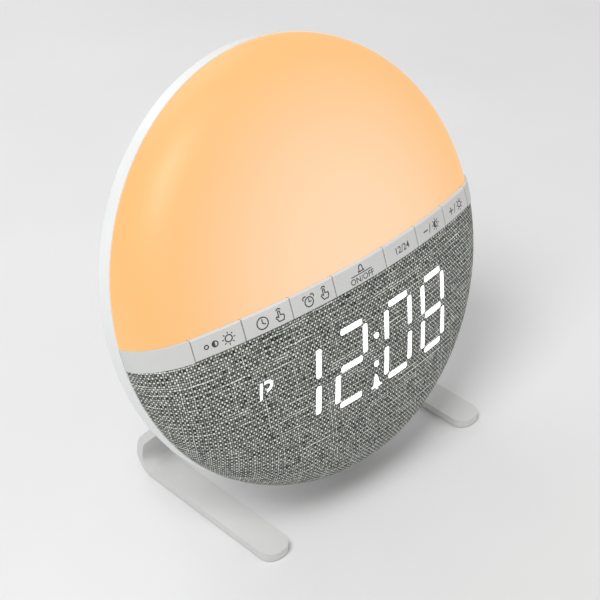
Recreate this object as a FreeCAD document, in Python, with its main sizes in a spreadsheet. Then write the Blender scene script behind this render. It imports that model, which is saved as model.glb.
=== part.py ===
import FreeCAD, Part
import Sketcher
import math
import os

# Sunrise alarm clock: a round lamp and clock that leans back on two bent strap legs.
# Every piece of the round body is drawn in the body's own frame: the origin is the centre
# of the rim's front edge, x runs to the right, z up the face and -y out of the face.
# The finished piece is then leaned back and lifted. The legs are drawn in the floor's frame.

os.makedirs("parts", exist_ok=True)
doc = FreeCAD.newDocument("SunriseAlarmClock")
V = FreeCAD.Vector


# Driving dimensions

SIZES = [
    ("rim_radius", 90.0, "outer radius of the round body"),
    ("rim_depth", 8.3, "white band seen round the side"),
    ("rim_lip", 0.5, "step from the rim in to the dome"),
    ("back_radius", 76.0, "flat part of the back"),
    ("back_depth", 22.0, "rim's front edge to the back"),
    ("housing_wall", 2.2, "wall of the rear housing"),
    ("crown_radius", 228.0, "sphere of the dome's crown"),
    ("crown_rise", 34.0, "height of the dome above the rim"),
    ("dome_wall", 2.6, "wall of the diffuser and of the front panel"),
    ("fabric_thick", 0.8, "woven fabric on the front panel"),
    ("seat_play", 0.1, "clearance where a shell seats"),
    ("strip_top", 3.8, "upper edge of the key strip"),
    ("strip_bottom", -4.9, "lower edge of the key strip"),
    ("key_proud", 1.6, "keys stand out of the diffuser by this"),
    ("key_thick", 3.0, "wall of a key cap"),
    ("key_gap", 0.4, "gap between two keys"),
    ("key_travel", 0.7, "how far a key goes in"),
    ("key_edge_a", 13.7, "half width of the middle key"),
    ("key_edge_b", 34.0, "second joint between keys"),
    ("key_edge_c", 54.4, "third joint between keys"),
    ("key_edge_d", 74.4, "outer end of the last key"),
    ("stem_wide", 3.0, "stem of a key, square"),
    ("key_board_y", -14.0, "front of the key board"),
    ("board_thick", 1.6, "every circuit board"),
    ("switch_tall", 3.4, "body of a tact switch"),
    ("switch_wide", 6.0, "body of a tact switch"),
    ("plunger_radius", 1.6, "plunger of a tact switch"),
    ("plunger_tall", 1.0, "plunger out of its switch"),
    ("digit_top", -18.0, "upper edge of the digits"),
    ("digit_bottom", -50.3, "lower edge of the digits"),
    ("digit_lean", 0.2, "sideways slope of the digits"),
    ("digit_wide", 16.0, "width of one digit"),
    ("stroke", 2.4, "width of a lit segment"),
    ("main_board_y", 6.0, "front of the main board"),
    ("lamp_board_y", 6.0, "front of the lamp board"),
    ("lamp_radius", 62.0, "row of lamps, outer arc"),
    ("speaker_radius", 19.0, "speaker basket"),
    ("speaker_x", 0.0, "speaker centre"),
    ("speaker_z", 26.0, "speaker centre"),
    ("socket_x", 27.0, "power socket centre"),
    ("socket_z", -52.0, "power socket centre"),
    ("cell_x", -22.0, "coin cell centre"),
    ("cell_z", -40.0, "coin cell centre"),
    ("cell_radius", 10.0, "coin cell"),
    ("cell_thick", 3.2, "coin cell"),
    ("door_wide", 30.0, "battery door"),
    ("door_tall", 26.0, "battery door"),
    ("screw_radius", 1.5, "thread of the housing screws"),
    ("post_ring", 74.0, "ring of the housing screws"),
    ("lean", 19.15, "the body leans back by this many degrees"),
    ("centre_height", 90.0, "centre of the rim above the floor"),
    ("centre_y", 0.9, "puts the origin under the middle"),
    ("leg_x", 56.9, "middle of a leg"),
    ("leg_wide", 13.3, "strap of a leg"),
    ("leg_thick", 3.5, "strap of a leg"),
    ("foot_front", -47.6, "front end of a foot"),
    ("foot_corner", 5.8, "rounding of the foot's front end"),
    ("leg_rear", 32.2, "rear of the leg's bend"),
    ("pad_proud", 0.4, "rubber pad below the strap"),
]

sheet = doc.addObject("Spreadsheet::Sheet", "Sizes")


class Dim:
    """A size with the sheet expression that gives it."""

    def __init__(self, value, text):
        self.value = float(value)
        self.text = text

    def __add__(self, other):
        other = dim(other)
        return Dim(self.value + other.value, f"({self.text} + {other.text})")

    def __sub__(self, other):
        other = dim(other)
        return Dim(self.value - other.value, f"({self.text} - {other.text})")

    def __mul__(self, other):
        other = dim(other)
        return Dim(self.value * other.value, f"({self.text} * {other.text})")

    def __truediv__(self, other):
        other = dim(other)
        return Dim(self.value / other.value, f"({self.text} / {other.text})")

    def __neg__(self):
        return Dim(-self.value, f"(0 - {self.text})")

    __radd__ = __add__
    __rmul__ = __mul__

    def __rsub__(self, other):
        return dim(other) - self


def dim(value):
    if isinstance(value, Dim):
        return value
    return Dim(value, f"({value:.6f})")


def root(value):
    return Dim(math.sqrt(value.value), f"sqrt({value.text})")


size = {}
for row, (alias, value, note) in enumerate(SIZES, start=1):
    sheet.set(f"A{row}", note)
    sheet.set(f"B{row}", str(value))
    sheet.setAlias(f"B{row}", alias)
    size[alias] = Dim(value, f"Sizes.{alias}")
doc.recompute()

S = type("Names", (), size)


# Sketch and feature helpers

def bind(thing, path, value):
    thing.setExpression(path, dim(value).text)


def sketch_on(body, name, role, along=0):
    """A sketch on one of the body's own planes, moved by `along` on the plane's normal."""
    sketch = body.newObject("Sketcher::SketchObject", name)
    plane = [f for f in body.Origin.OriginFeatures if f.Role == role][0]
    sketch.AttachmentSupport = [(plane, "")]
    sketch.MapMode = "FlatFace"
    bind(sketch, "AttachmentOffset.Base.z", along)
    return sketch


def face_sketch(body, name, y=0):
    """A sketch seen from the front: its x is x, its y is z, and its normal points to -y."""
    return sketch_on(body, name, "XZ_Plane", -dim(y))


def hold(sketch, kind, refs, value):
    index = sketch.addConstraint(Sketcher.Constraint(kind, *refs, dim(value).value))
    bind(sketch, f"Constraints[{index}]", value)


def pin(sketch, geo, end, x, y):
    hold(sketch, "DistanceX", (-1, 1, geo, end), x)
    hold(sketch, "DistanceY", (-1, 1, geo, end), y)


def half_turn_pins(sketch, geo, *ends):
    """Holds a half circle by its centre and by one coordinate of each end."""
    (_, a), (_, b) = ends
    pin(sketch, geo, 3, (dim(a[0]) + b[0]) / 2, (dim(a[1]) + b[1]) / 2)
    upright = abs(dim(a[1]).value - dim(b[1]).value) < 1e-6
    for end, point in ends:
        kind, value = ("DistanceY", point[1]) if upright else ("DistanceX", point[0])
        hold(sketch, kind, (-1, 1, geo, end), value)


def outline(sketch, points):
    """A closed outline. A point (x, y) ends a straight side and (x, y, radius, side) an arc,
    whose centre is left of the way along its chord when side is 1 and right when it is -1."""
    last = points[-1]
    for point in points:
        x0, y0 = dim(last[0]).value, dim(last[1]).value
        x1, y1 = dim(point[0]).value, dim(point[1]).value
        if math.hypot(x1 - x0, y1 - y0) < 1e-6:
            continue
        if len(point) == 2:
            geo = sketch.addGeometry(Part.LineSegment(V(x0, y0, 0), V(x1, y1, 0)))
            pin(sketch, geo, 1, last[0], last[1])
            pin(sketch, geo, 2, point[0], point[1])
        else:
            radius, side = dim(point[2]), point[3]
            half = math.hypot(x1 - x0, y1 - y0) / 2
            rise = math.sqrt(max(radius.value ** 2 - half ** 2, 0)) * side
            cx = (x0 + x1) / 2 - (y1 - y0) / (2 * half) * rise
            cy = (y0 + y1) / 2 + (x1 - x0) / (2 * half) * rise
            start = math.atan2(y0 - cy, x0 - cx)
            end = math.atan2(y1 - cy, x1 - cx)
            first, second = (1, 2) if side > 0 else (2, 1)
            if side < 0:
                start, end = end, start
            circle = Part.Circle(V(cx, cy, 0), V(0, 0, 1), radius.value)
            geo = sketch.addGeometry(Part.ArcOfCircle(circle, start, end))
            hold(sketch, "Radius", (geo,), radius)
            if rise * side < 0.01 * radius.value:
                half_turn_pins(sketch, geo, (first, last), (second, point))
            else:
                pin(sketch, geo, first, last[0], last[1])
                pin(sketch, geo, second, point[0], point[1])
        last = point


def rectangle(sketch, x0, y0, x1, y1):
    outline(sketch, [(x0, y0), (x1, y0), (x1, y1), (x0, y1)])


def circle(sketch, x, y, radius):
    centre = V(dim(x).value, dim(y).value, 0)
    geo = sketch.addGeometry(Part.Circle(centre, V(0, 0, 1), dim(radius).value))
    hold(sketch, "Radius", (geo,), radius)
    pin(sketch, geo, 3, x, y)


def slot(sketch, x, y, length, width):
    """An upright slot with round ends."""
    r = dim(width) / 2
    a = dim(length) / 2 - r
    x, y = dim(x), dim(y)
    outline(sketch, [(x + r, y + a), (x - r, y + a, r, 1), (x - r, y - a), (x + r, y - a, r, 1)])


def new_body(name):
    body = doc.addObject("PartDesign::Body", name)
    body.Label = name
    return body


def revolve(body, sketch, name, groove=False):
    kind = "PartDesign::Groove" if groove else "PartDesign::Revolution"
    feature = body.newObject(kind, name)
    feature.Profile = sketch
    feature.ReferenceAxis = (sketch, ["V_Axis"])
    feature.Angle = 360
    body.Tip = feature
    return feature


def pad(body, sketch, name, length, backwards=False):
    feature = body.newObject("PartDesign::Pad", name)
    feature.Profile = sketch
    bind(feature, "Length", length)
    feature.Reversed = backwards
    body.Tip = feature
    return feature


def pocket(body, sketch, name, length=None, forwards=False):
    """A pocket. It cuts towards +y from a face sketch, or towards -y when forwards is set,
    and with no length it cuts both ways right through."""
    feature = body.newObject("PartDesign::Pocket", name)
    feature.Profile = sketch
    if length is None:
        feature.SideType = "Two sides"
        feature.Type = "ThroughAll"
        feature.Type2 = "ThroughAll"
    else:
        bind(feature, "Length", length)
        feature.Reversed = forwards
    body.Tip = feature
    return feature


def box(name, x0, x1, y0, y1, z0, z1):
    block = doc.addObject("Part::Box", name)
    for side, low, high in (("Length", x0, x1), ("Width", y0, y1), ("Height", z0, z1)):
        bind(block, side, dim(high) - low)
    for axis, low in (("x", x0), ("y", y0), ("z", z0)):
        bind(block, f"Placement.Base.{axis}", low)
    return block


def rod(name, x, y0, y1, z, radius):
    """A cylinder along y, from y0 back to y1."""
    pin_body = doc.addObject("Part::Cylinder", name)
    bind(pin_body, "Radius", radius)
    bind(pin_body, "Height", dim(y1) - y0)
    pin_body.Placement.Rotation = FreeCAD.Rotation(V(-1, 0, 0), 90)
    for axis, low in (("x", x), ("y", y0), ("z", z)):
        bind(pin_body, f"Placement.Base.{axis}", low)
    return pin_body


def cut(name, base, *tools):
    for number, tool in enumerate(tools, start=1):
        result = doc.addObject("Part::Cut", f"{name}_cut_{number}")
        result.Base = base
        result.Tool = tool
        base = result
    return base


def fuse(name, shapes):
    if len(shapes) == 1:
        return shapes[0]
    joined = doc.addObject("Part::MultiFuse", name)
    joined.Shapes = shapes
    return joined


def group(name, shapes):
    """Separate solids of one kind under one name."""
    together = doc.addObject("Part::Compound", name)
    together.Links = shapes
    return together


nodes = []


def finish(thing, label, leaned=True):
    """Names the piece and puts it in its place: on the floor, or in the leaned body."""
    if thing.TypeId in ("Part::Box", "Part::Cylinder", "Part::Cone"):
        thing.Label = label + "_form"
        thing = group(label + "_piece", [thing])
    thing.Label = label
    if leaned:
        thing.Placement = FreeCAD.Placement(V(0, 0, 1), FreeCAD.Rotation(V(-1, 0, 0), 10))
        bind(thing, "Placement.Rotation.Angle", S.lean)
        bind(thing, "Placement.Base.z", S.centre_height)
    bind(thing, "Placement.Base.y", S.centre_y)
    nodes.append(thing)
    return thing


# The dome's profile: a crown arc and a shoulder arc that meets the rim square

class Dome:
    """Half profile of a domed shell face, with x as the radius and -y as the height."""

    def __init__(self, edge, rise, crown):
        self.edge, self.rise, self.crown = dim(edge), dim(rise), dim(crown)
        middle = self.crown - self.rise
        self.shoulder = ((self.crown * self.crown - self.edge * self.edge - middle * middle)
                         / (2 * (self.crown - self.edge)))
        inner = self.edge - self.shoulder
        reach = self.crown / (self.crown - self.shoulder)
        self.turn_x = inner * reach
        self.turn_y = middle - middle * reach

    def inside(self, depth):
        """The same face moved in by depth."""
        return Dome(self.edge - depth, self.rise - depth, self.crown - depth)

    def outward(self):
        """Points from the axis out to the edge."""
        return [(0, -self.rise), (self.turn_x, self.turn_y, self.crown, 1),
                (self.edge, 0, self.shoulder, 1)]

    def inward(self):
        """Points from the edge back to the axis."""
        return [(self.edge, 0), (self.turn_x, self.turn_y, self.shoulder, -1),
                (0, -self.rise, self.crown, -1)]


face = Dome(S.rim_radius - S.rim_lip, S.crown_rise, S.crown_radius)
cloth = Dome(S.rim_radius - 0.4, S.crown_rise + S.fabric_thick, S.crown_radius + S.fabric_thick)
carrier = cloth.inside(S.fabric_thick)


def shell_band(body, name, outer, inner, skirt=None):
    """Revolves the band between two dome faces. The skirt runs back into the rim."""
    sketch = sketch_on(body, name + "_profile", "XY_Plane")
    if skirt is None:
        outline(sketch, outer.outward() + inner.inward())
    else:
        outline(sketch, outer.outward() + skirt + inner.inward())
    return revolve(body, sketch, name)


def keep_between(body, name, low, high):
    """Cuts a round body off above `high` and below `low`, seen from the front."""
    wide = S.rim_radius * 1.5
    if high is not None:
        above = face_sketch(body, name + "_above")
        rectangle(above, -wide, high, wide, wide)
        pocket(body, above, name + "_upper_cut")
    if low is not None:
        below = face_sketch(body, name + "_below")
        rectangle(below, -wide, -wide, wide, low)
        pocket(body, below, name + "_lower_cut")


# Rear housing: rim band, coned back with a flat middle, posts, grille and openings

inner_radius = S.rim_radius - S.housing_wall
back_inside = S.back_depth - S.housing_wall
housing = new_body("rear_housing")
wall = sketch_on(housing, "wall_profile", "XY_Plane")
outline(wall, [
    (0, S.back_depth),
    (0, back_inside),
    (S.back_radius - 1.2, back_inside),
    (inner_radius, S.rim_depth - 0.8),
    (inner_radius, 0),
    (S.rim_radius, 0),
    (S.rim_radius, S.rim_depth - 2),
    (S.rim_radius - 2, S.rim_depth, 2, 1),
    (S.back_radius, S.back_depth),
])
revolve(housing, wall, "wall")

post_angles = [20, 160, 205, 250, 290, 335]
posts = face_sketch(housing, "posts_plan", back_inside + 0.5)
for angle in post_angles:
    turn = math.radians(angle)
    circle(posts, S.post_ring * math.cos(turn), S.post_ring * math.sin(turn), 3.6)
pad(housing, posts, "posts", back_inside + 0.5 - 4)
wells = face_sketch(housing, "wells_plan", S.back_depth + 1)
for angle in post_angles:
    turn = math.radians(angle)
    circle(wells, S.post_ring * math.cos(turn), S.post_ring * math.sin(turn), 2.6)
pocket(housing, wells, "wells", S.back_depth + 1 - 10, forwards=True)
bores = face_sketch(housing, "bores_plan")
for angle in post_angles:
    turn = math.radians(angle)
    circle(bores, S.post_ring * math.cos(turn), S.post_ring * math.sin(turn), S.screw_radius + 0.15)
pocket(housing, bores, "bores")

# Sound slots in a round field behind the speaker
grille = face_sketch(housing, "grille_plan", S.back_depth)
SLOT_STEP = 4.0
for step in range(-3, 4):
    reach = math.sqrt(15.0 ** 2 - (step * SLOT_STEP) ** 2)
    slot(grille, S.speaker_x + step * SLOT_STEP, S.speaker_z, 2 * reach, 1.8)
pocket(housing, grille, "grille", S.housing_wall + 1, forwards=True)

openings = face_sketch(housing, "openings_plan", S.back_depth)
rectangle(openings, S.cell_x - S.door_wide / 2, S.cell_z - S.door_tall / 2,
          S.cell_x + S.door_wide / 2, S.cell_z + S.door_tall / 2)
rectangle(openings, S.socket_x - 6.5, S.socket_z - 3.5, S.socket_x + 6.5, S.socket_z + 3.5)
pocket(housing, openings, "openings", S.housing_wall + 1, forwards=True)

# Blind screw pillars for the legs stand on the inside of the back
leg_screw_z = [-36.0, -24.0]
pillars = face_sketch(housing, "pillars_plan", back_inside + 0.5)
for side in (-1, 1):
    for z in leg_screw_z:
        circle(pillars, side * S.leg_x, z, 3.0)
pad(housing, pillars, "pillars", 6.5)
pillar_bores = face_sketch(housing, "pillar_bores_plan", S.back_depth + 1)
for side in (-1, 1):
    for z in leg_screw_z:
        circle(pillar_bores, side * S.leg_x, z, S.screw_radius)
pocket(housing, pillar_bores, "pillar_bores", 8.5, forwards=True)

# Standoffs carry the main board, and two more carry the lamp board
board_points = [(-40, -14), (40, -14), (-40, -60), (40, -60)]
lamp_points = [(-46, 24), (46, 24)]
stands = face_sketch(housing, "stands_plan", back_inside + 0.5)
for x, z in board_points + lamp_points:
    circle(stands, x, z, 2.6)
pad(housing, stands, "stands", back_inside + 0.5 - S.main_board_y - S.board_thick)
stand_bores = face_sketch(housing, "stand_bores_plan")
for x, z in board_points + lamp_points:
    circle(stand_bores, x, z, 1.0)
pocket(housing, stand_bores, "stand_bores", 14.0)
finish(housing, "rear_housing")


# Diffuser: the upper dome, with a skirt that seats in the rim

diffuser = new_body("diffuser_dome")
inner_face = face.inside(S.dome_wall)
skirt_outer = inner_radius - S.seat_play
skirt_end = 4.0
shell_band(diffuser, "dome", face, inner_face, skirt=[
    (skirt_outer, 0), (skirt_outer, skirt_end), (inner_face.edge, skirt_end)])
keep_between(diffuser, "dome", S.strip_top + 0.1, None)
finish(diffuser, "diffuser_dome")


# Front panel: the lower dome under the fabric, open behind the display

panel = new_body("front_panel")
carrier_inner = carrier.inside(S.dome_wall)
shell_band(panel, "panel", carrier, carrier_inner, skirt=[
    (skirt_outer, 0), (skirt_outer, skirt_end), (carrier_inner.edge, skirt_end)])
panel_top = S.strip_bottom - 0.1
above_panel = face_sketch(panel, "panel_above")
rectangle(above_panel, -S.rim_radius * 1.5, panel_top, S.rim_radius * 1.5, S.rim_radius * 1.5)
pocket(panel, above_panel, "panel_upper_cut")
window = face_sketch(panel, "window_plan")
rectangle(window, -58, S.digit_bottom - 2.5, 52, S.digit_top + 2.5)
pocket(panel, window, "window")
finish(panel, "front_panel")


# Fabric cover, glued all over the front panel

fabric = new_body("fabric_cover")
shell_band(fabric, "cloth", cloth, carrier)
above_cloth = face_sketch(fabric, "cloth_above")
rectangle(above_cloth, -S.rim_radius * 1.5, panel_top, S.rim_radius * 1.5, S.rim_radius * 1.5)
pocket(fabric, above_cloth, "cloth_upper_cut")
finish(fabric, "fabric_cover")


# Key strip: a bowed bar with blank ends, and seven caps on stems in front of it

raised = Dome(face.edge + 0.3, S.crown_rise + S.key_proud, S.crown_radius + S.key_proud)


def dome_solid(name, dome, depth):
    """A full dome as a plain solid of revolution, as far back as `depth`."""
    body = doc.addObject("PartDesign::Body", name)
    sketch = sketch_on(body, name + "_profile", "XY_Plane")
    outline(sketch, dome.outward() + [(dome.edge, depth), (0, depth)])
    revolve(body, sketch, name + "_turn")
    return body


strip_low = S.strip_bottom
strip_high = S.strip_top
cap_back = Dome(face.edge - 1.4, S.crown_rise + S.key_proud - S.key_thick,
                S.crown_radius + S.key_proud - S.key_thick)
frame_front = cap_back.inside(S.key_travel + 0.5)
frame_back = frame_front.inside(2.0)

frame_solid = dome_solid("strip_solid", raised, 0)
frame_slab = box("strip_slab", -S.rim_radius, S.rim_radius, -S.rim_radius, -0.2, strip_low, strip_high)
frame_bar = doc.addObject("Part::Common", "strip_bar")
frame_bar.Base = frame_solid
frame_bar.Tool = frame_slab
frame_hollow = dome_solid("strip_hollow", frame_back, 1)
seat_front = dome_solid("seat_solid", frame_front, 1)
seat_block = box("seat_block", -S.key_edge_d - S.key_gap / 2, S.key_edge_d + S.key_gap / 2,
                 -S.rim_radius, 0, strip_low - 1, strip_high + 1)
seat = cut("seat", seat_block, seat_front)
edges = [-S.key_edge_d, -S.key_edge_c, -S.key_edge_b, -S.key_edge_a,
         S.key_edge_a, S.key_edge_b, S.key_edge_c, S.key_edge_d]
strip_mid = (strip_low + strip_high) / 2
guide = S.stem_wide / 2 + 0.15
guides = []
for number in range(7):
    x = (edges[number] + edges[number + 1]) / 2
    guides.append(box(f"guide_{number}", x - guide, x + guide, -40, -10, strip_mid - guide, strip_mid + guide))
key_frame = cut("key_frame", frame_bar, frame_hollow, seat, fuse("guides", guides))
finish(key_frame, "key_frame")

key_names = ["key_dimmer", "key_time", "key_alarm", "key_alarm_switch",
             "key_hour_format", "key_minus", "key_plus"]
plunger_front = S.key_board_y - S.switch_tall - S.plunger_tall
cap_inner = dome_solid("cap_hollow", cap_back, 1)
stem_face = dome_solid("stem_face", cap_back.inside(-0.5), 5)
for number, name in enumerate(key_names):
    left = edges[number] + S.key_gap / 2
    right = edges[number + 1] - S.key_gap / 2
    middle = (edges[number] + edges[number + 1]) / 2
    cap_block = box(f"{name}_block", left, right, -S.rim_radius, -2, strip_low, strip_high)
    cap = doc.addObject("Part::Common", f"{name}_blank")
    cap.Base = frame_solid
    cap.Tool = cap_block
    doc.recompute()
    rounded = doc.addObject("Part::Chamfer", f"{name}_chamfer")
    rounded.Base = cap
    rim_edges = []
    for index, edge in enumerate(cap.Shape.Edges, start=1):
        point = edge.valueAt((edge.FirstParameter + edge.LastParameter) / 2)
        spread = V(point.x, point.y - (raised.crown.value - raised.rise.value), point.z).Length
        if abs(spread - raised.crown.value) < 0.01:
            rim_edges.append((index, 0.45, 0.45))
    rounded.Edges = rim_edges
    stem = box(f"{name}_stem", middle - S.stem_wide / 2, middle + S.stem_wide / 2,
               -33, plunger_front, strip_mid - S.stem_wide / 2, strip_mid + S.stem_wide / 2)
    stem_trim = doc.addObject("Part::Common", f"{name}_stem_trim")
    stem_trim.Base = stem
    stem_trim.Tool = stem_face
    key = fuse(name, [cut(f"{name}_cap", rounded, cap_inner), stem_trim])
    finish(key, name)
    plunger = rod(f"{name}_plunger", middle, plunger_front, S.key_board_y - S.switch_tall + 0.6,
                  strip_mid, S.plunger_radius)
    finish(plunger, name.replace("key_", "plunger_"))


# Key board with its switches

key_board = box("key_board", -70, 70, S.key_board_y, S.key_board_y + S.board_thick, -6.5, 6.0)
finish(key_board, "key_board")
switches = []
for number in range(7):
    middle = (edges[number] + edges[number + 1]) / 2
    half = S.switch_wide / 2
    block = box(f"switch_{number}", middle - half, middle + half, S.key_board_y - S.switch_tall,
                S.key_board_y, strip_mid - half, strip_mid + half)
    hole = rod(f"switch_hole_{number}", middle, S.key_board_y - S.switch_tall - 1,
               S.key_board_y - S.switch_tall + 0.6 + S.key_travel + 0.2, strip_mid, S.plunger_radius + 0.1)
    switches.append(cut(f"switch_body_{number}", block, hole))
finish(group("tact_switches_group", switches), "tact_switches")


# Display: light box with one slanted cell for each segment, and its board with LEDs behind

DIGIT_X = [-33.5, -11.0, 14.5, 36.0]
box_back = -12.0
display = new_body("display_light_box")
light_box_face = carrier_inner.inside(0.3)
light_profile = sketch_on(display, "light_box_profile", "XY_Plane")
outline(light_profile, light_box_face.outward()[:2] + [(light_box_face.turn_x, box_back), (0, box_back)])
revolve(display, light_profile, "light_box_turn")
around = face_sketch(display, "light_box_around")
rectangle(around, -150, -150, 150, 150)
rectangle(around, -57.5, S.digit_bottom - 2, 51.5, S.digit_top + 2)
pocket(display, around, "light_box_trim")


def slanted(x, z):
    """Leans a point of a digit, about the digit's middle line."""
    return dim(x) + S.digit_lean * (dim(z) - (S.digit_top + S.digit_bottom) / 2), dim(z)


def bar_across(x0, x1, z):
    half = S.stroke / 2
    return [slanted(x0, z), slanted(x0 + half, z + half), slanted(x1 - half, z + half),
            slanted(x1, z), slanted(x1 - half, z - half), slanted(x0 + half, z - half)]


def bar_upright(x, z0, z1):
    half = S.stroke / 2
    return [slanted(x, z0), slanted(x + half, z0 + half), slanted(x + half, z1 - half),
            slanted(x, z1), slanted(x - half, z1 - half), slanted(x - half, z0 + half)]


half_stroke = S.stroke / 2
row_top = S.digit_top - half_stroke
row_low = S.digit_bottom + half_stroke
row_mid = (row_top + row_low) / 2
SPLIT = 0.45
for number, x in enumerate(DIGIT_X):
    half = (S.digit_wide - S.stroke) / 2
    left, right = x - half, x + half
    digit = face_sketch(display, f"digit_plan_{number}")
    for z in (row_top, row_mid, row_low):
        outline(digit, bar_across(left + SPLIT, right - SPLIT, z))
    for side in (left, right):
        outline(digit, bar_upright(side, row_mid + SPLIT, row_top - SPLIT))
        outline(digit, bar_upright(side, row_low + SPLIT, row_mid - SPLIT))
    pocket(display, digit, f"digit_{number}")
cells = face_sketch(display, "cells_plan")
for x, z in ((1.5, -28.5), (0.0, -40.0)):
    circle(cells, x, z, 1.3)
circle(cells, -50.0, -27.0, 3.2)
pocket(display, cells, "cells")
finish(display, "display_light_box")

display_board = box("display_board", -57, 51, box_back, box_back + S.board_thick, S.digit_bottom - 1.5, S.digit_top + 1.5)
finish(display_board, "display_board")
lamps = []
for number, x in enumerate(DIGIT_X):
    half = (S.digit_wide - S.stroke) / 2
    spots = [(x, row_top), (x, row_mid), (x, row_low)]
    spots += [(x - half, (row_top + row_mid) / 2), (x + half, (row_top + row_mid) / 2)]
    spots += [(x - half, (row_mid + row_low) / 2), (x + half, (row_mid + row_low) / 2)]
    for index, (a, b) in enumerate(spots):
        a, b = slanted(a, b)
        lamps.append(box(f"segment_led_{number}_{index}", a - 0.8, a + 0.8, box_back - 0.8, box_back, b - 0.8, b + 0.8))
finish(group("display_leds_group", lamps), "display_leds")


# Lamp: half-round board with LEDs behind the diffuser, in a white reflector tray

def half_disc(name, radius, low, front, back):
    disc = rod(name + "_disc", 0, front, back, 0, radius)
    side = dim(radius) + 1
    below = box(name + "_below", -side, side, dim(front) - 1, dim(back) + 1, -side, low)
    return cut(name, disc, below)


lamp_plate = half_disc("lamp_plate", 70, 9, S.lamp_board_y, S.lamp_board_y + S.board_thick)
lamp_bores = [rod(f"lamp_bore_{n}", x, 0, 12, z, 1.2) for n, (x, z) in enumerate(lamp_points)]
lamp_board = cut("lamp_board", lamp_plate, fuse("lamp_bores", lamp_bores))
finish(lamp_board, "lamp_board")
lamp_spots = []
for radius, count in ((S.lamp_radius, 9), (S.lamp_radius * 0.55, 5)):
    for number in range(count):
        turn = math.radians(20 + 140 * number / (count - 1))
        lamp_spots.append((radius * math.cos(turn), radius * math.sin(turn)))
leds = [box(f"lamp_led_{n}", x - 2.5, x + 2.5, S.lamp_board_y - 1.6, S.lamp_board_y, z - 2.5, z + 2.5)
        for n, (x, z) in enumerate(lamp_spots)]
finish(group("lamp_leds_group", leds), "lamp_leds")
tray_plate = half_disc("tray_plate", 82, 5.5, S.lamp_board_y - 1.2, S.lamp_board_y - 0.2)
tray_holes = [box(f"tray_hole_{n}", x - 2.8, x + 2.8, 0, 12, z - 2.8, z + 2.8) for n, (x, z) in enumerate(lamp_spots)]
tray_notches = [rod(f"tray_notch_{n}", x, 0, 12, z, 2.4) for n, (x, z) in enumerate(lamp_points)]
for angle in post_angles[:2]:
    turn = math.radians(angle)
    tray_notches.append(rod(f"tray_notch_{angle}", S.post_ring * math.cos(turn), 0, 12,
                            S.post_ring * math.sin(turn), 4.0))
tray = cut("reflector_tray", tray_plate, fuse("tray_holes", tray_holes), fuse("tray_notches", tray_notches))
finish(tray, "reflector_tray")


# Main board and what it carries

board_front = S.main_board_y
board_rear = S.main_board_y + S.board_thick
main_plate = box("main_plate", -60, 60, board_front, board_rear, -65, -8)
main_bores = [rod(f"main_bore_{n}", x, 0, 12, z, 1.2) for n, (x, z) in enumerate(board_points)]
corner_cuts = [box(f"main_corner_{n}", x, x + 22, 0, 12, -67, -44) for n, x in enumerate((-68, 46))]
main_board = cut("main_board", main_plate, fuse("main_bores", main_bores), fuse("main_corners", corner_cuts))
finish(main_board, "main_board")
chips = [
    box("clock_chip", -6, 6, board_rear, board_rear + 2.2, -34, -22),
    box("light_driver", 14, 20, board_rear, board_rear + 1.6, -32, -26),
    box("inductor", 26, 34, board_rear, board_rear + 4.0, -34, -26),
    rod("capacitor_0", 22, board_rear, board_rear + 8, -18, 3.2),
    rod("capacitor_1", 30, board_rear, board_rear + 8, -18, 3.2),
    box("crystal", -18, -12, board_rear, board_rear + 2.0, -20, -17),
]
finish(group("board_components_group", chips), "board_components")

# Power socket: an upright flat shell with a tongue, open at the back
shell_top = S.back_depth - S.housing_wall - 0.4
socket_shell = box("socket_shell", S.socket_x - 4.5, S.socket_x + 4.5, board_rear, shell_top,
                   S.socket_z - 1.65, S.socket_z + 1.65)
socket_space = box("socket_space", S.socket_x - 4.2, S.socket_x + 4.2, board_rear + 4, shell_top + 1,
                   S.socket_z - 1.3, S.socket_z + 1.3)
socket_tongue = box("socket_tongue", S.socket_x - 3.3, S.socket_x + 3.3, board_rear + 3, shell_top - 1.5,
                    S.socket_z - 0.35, S.socket_z + 0.35)
power_socket = fuse("power_socket", [cut("socket_case", socket_shell, socket_space), socket_tongue])
finish(power_socket, "power_socket")

# Coin cell in its holder, reached through the battery door
holder_front = board_rear
cell_front = holder_front + 4.0
holder_block = rod("holder_block", S.cell_x, holder_front, cell_front + S.cell_thick, S.cell_z, S.cell_radius + 1.6)
holder_well = rod("holder_well", S.cell_x, cell_front, cell_front + S.cell_thick + 1, S.cell_z, S.cell_radius + 0.1)
finish(cut("cell_holder", holder_block, holder_well), "cell_holder")
coin_cell = rod("coin_cell", S.cell_x, cell_front, cell_front + S.cell_thick, S.cell_z, S.cell_radius)
finish(coin_cell, "coin_cell")
door_gap = 0.3
door_plate = box("door_plate", S.cell_x - S.door_wide / 2 + door_gap, S.cell_x + S.door_wide / 2 - door_gap,
                 S.back_depth - 2.0, S.back_depth, S.cell_z - S.door_tall / 2 + door_gap,
                 S.cell_z + S.door_tall / 2 - door_gap)
door_tongue = box("door_tongue", S.cell_x - 6, S.cell_x + 6, S.back_depth - 4.0, S.back_depth - S.housing_wall - 0.2,
                  S.cell_z - S.door_tall / 2 - 2, S.cell_z - S.door_tall / 2 + 4)
door_step = box("door_step", S.cell_x - 6, S.cell_x + 6, S.back_depth - 4.0, S.back_depth - 1.0,
                S.cell_z - S.door_tall / 2 + 1, S.cell_z - S.door_tall / 2 + 4)
door_bore = rod("door_bore", S.cell_x, 0, 30, S.cell_z + S.door_tall / 2 - 3, 1.3)
battery_door = cut("battery_door", fuse("door_solid", [door_plate, door_tongue, door_step]), door_bore)
finish(battery_door, "battery_door")


# Speaker behind the grille

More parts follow.
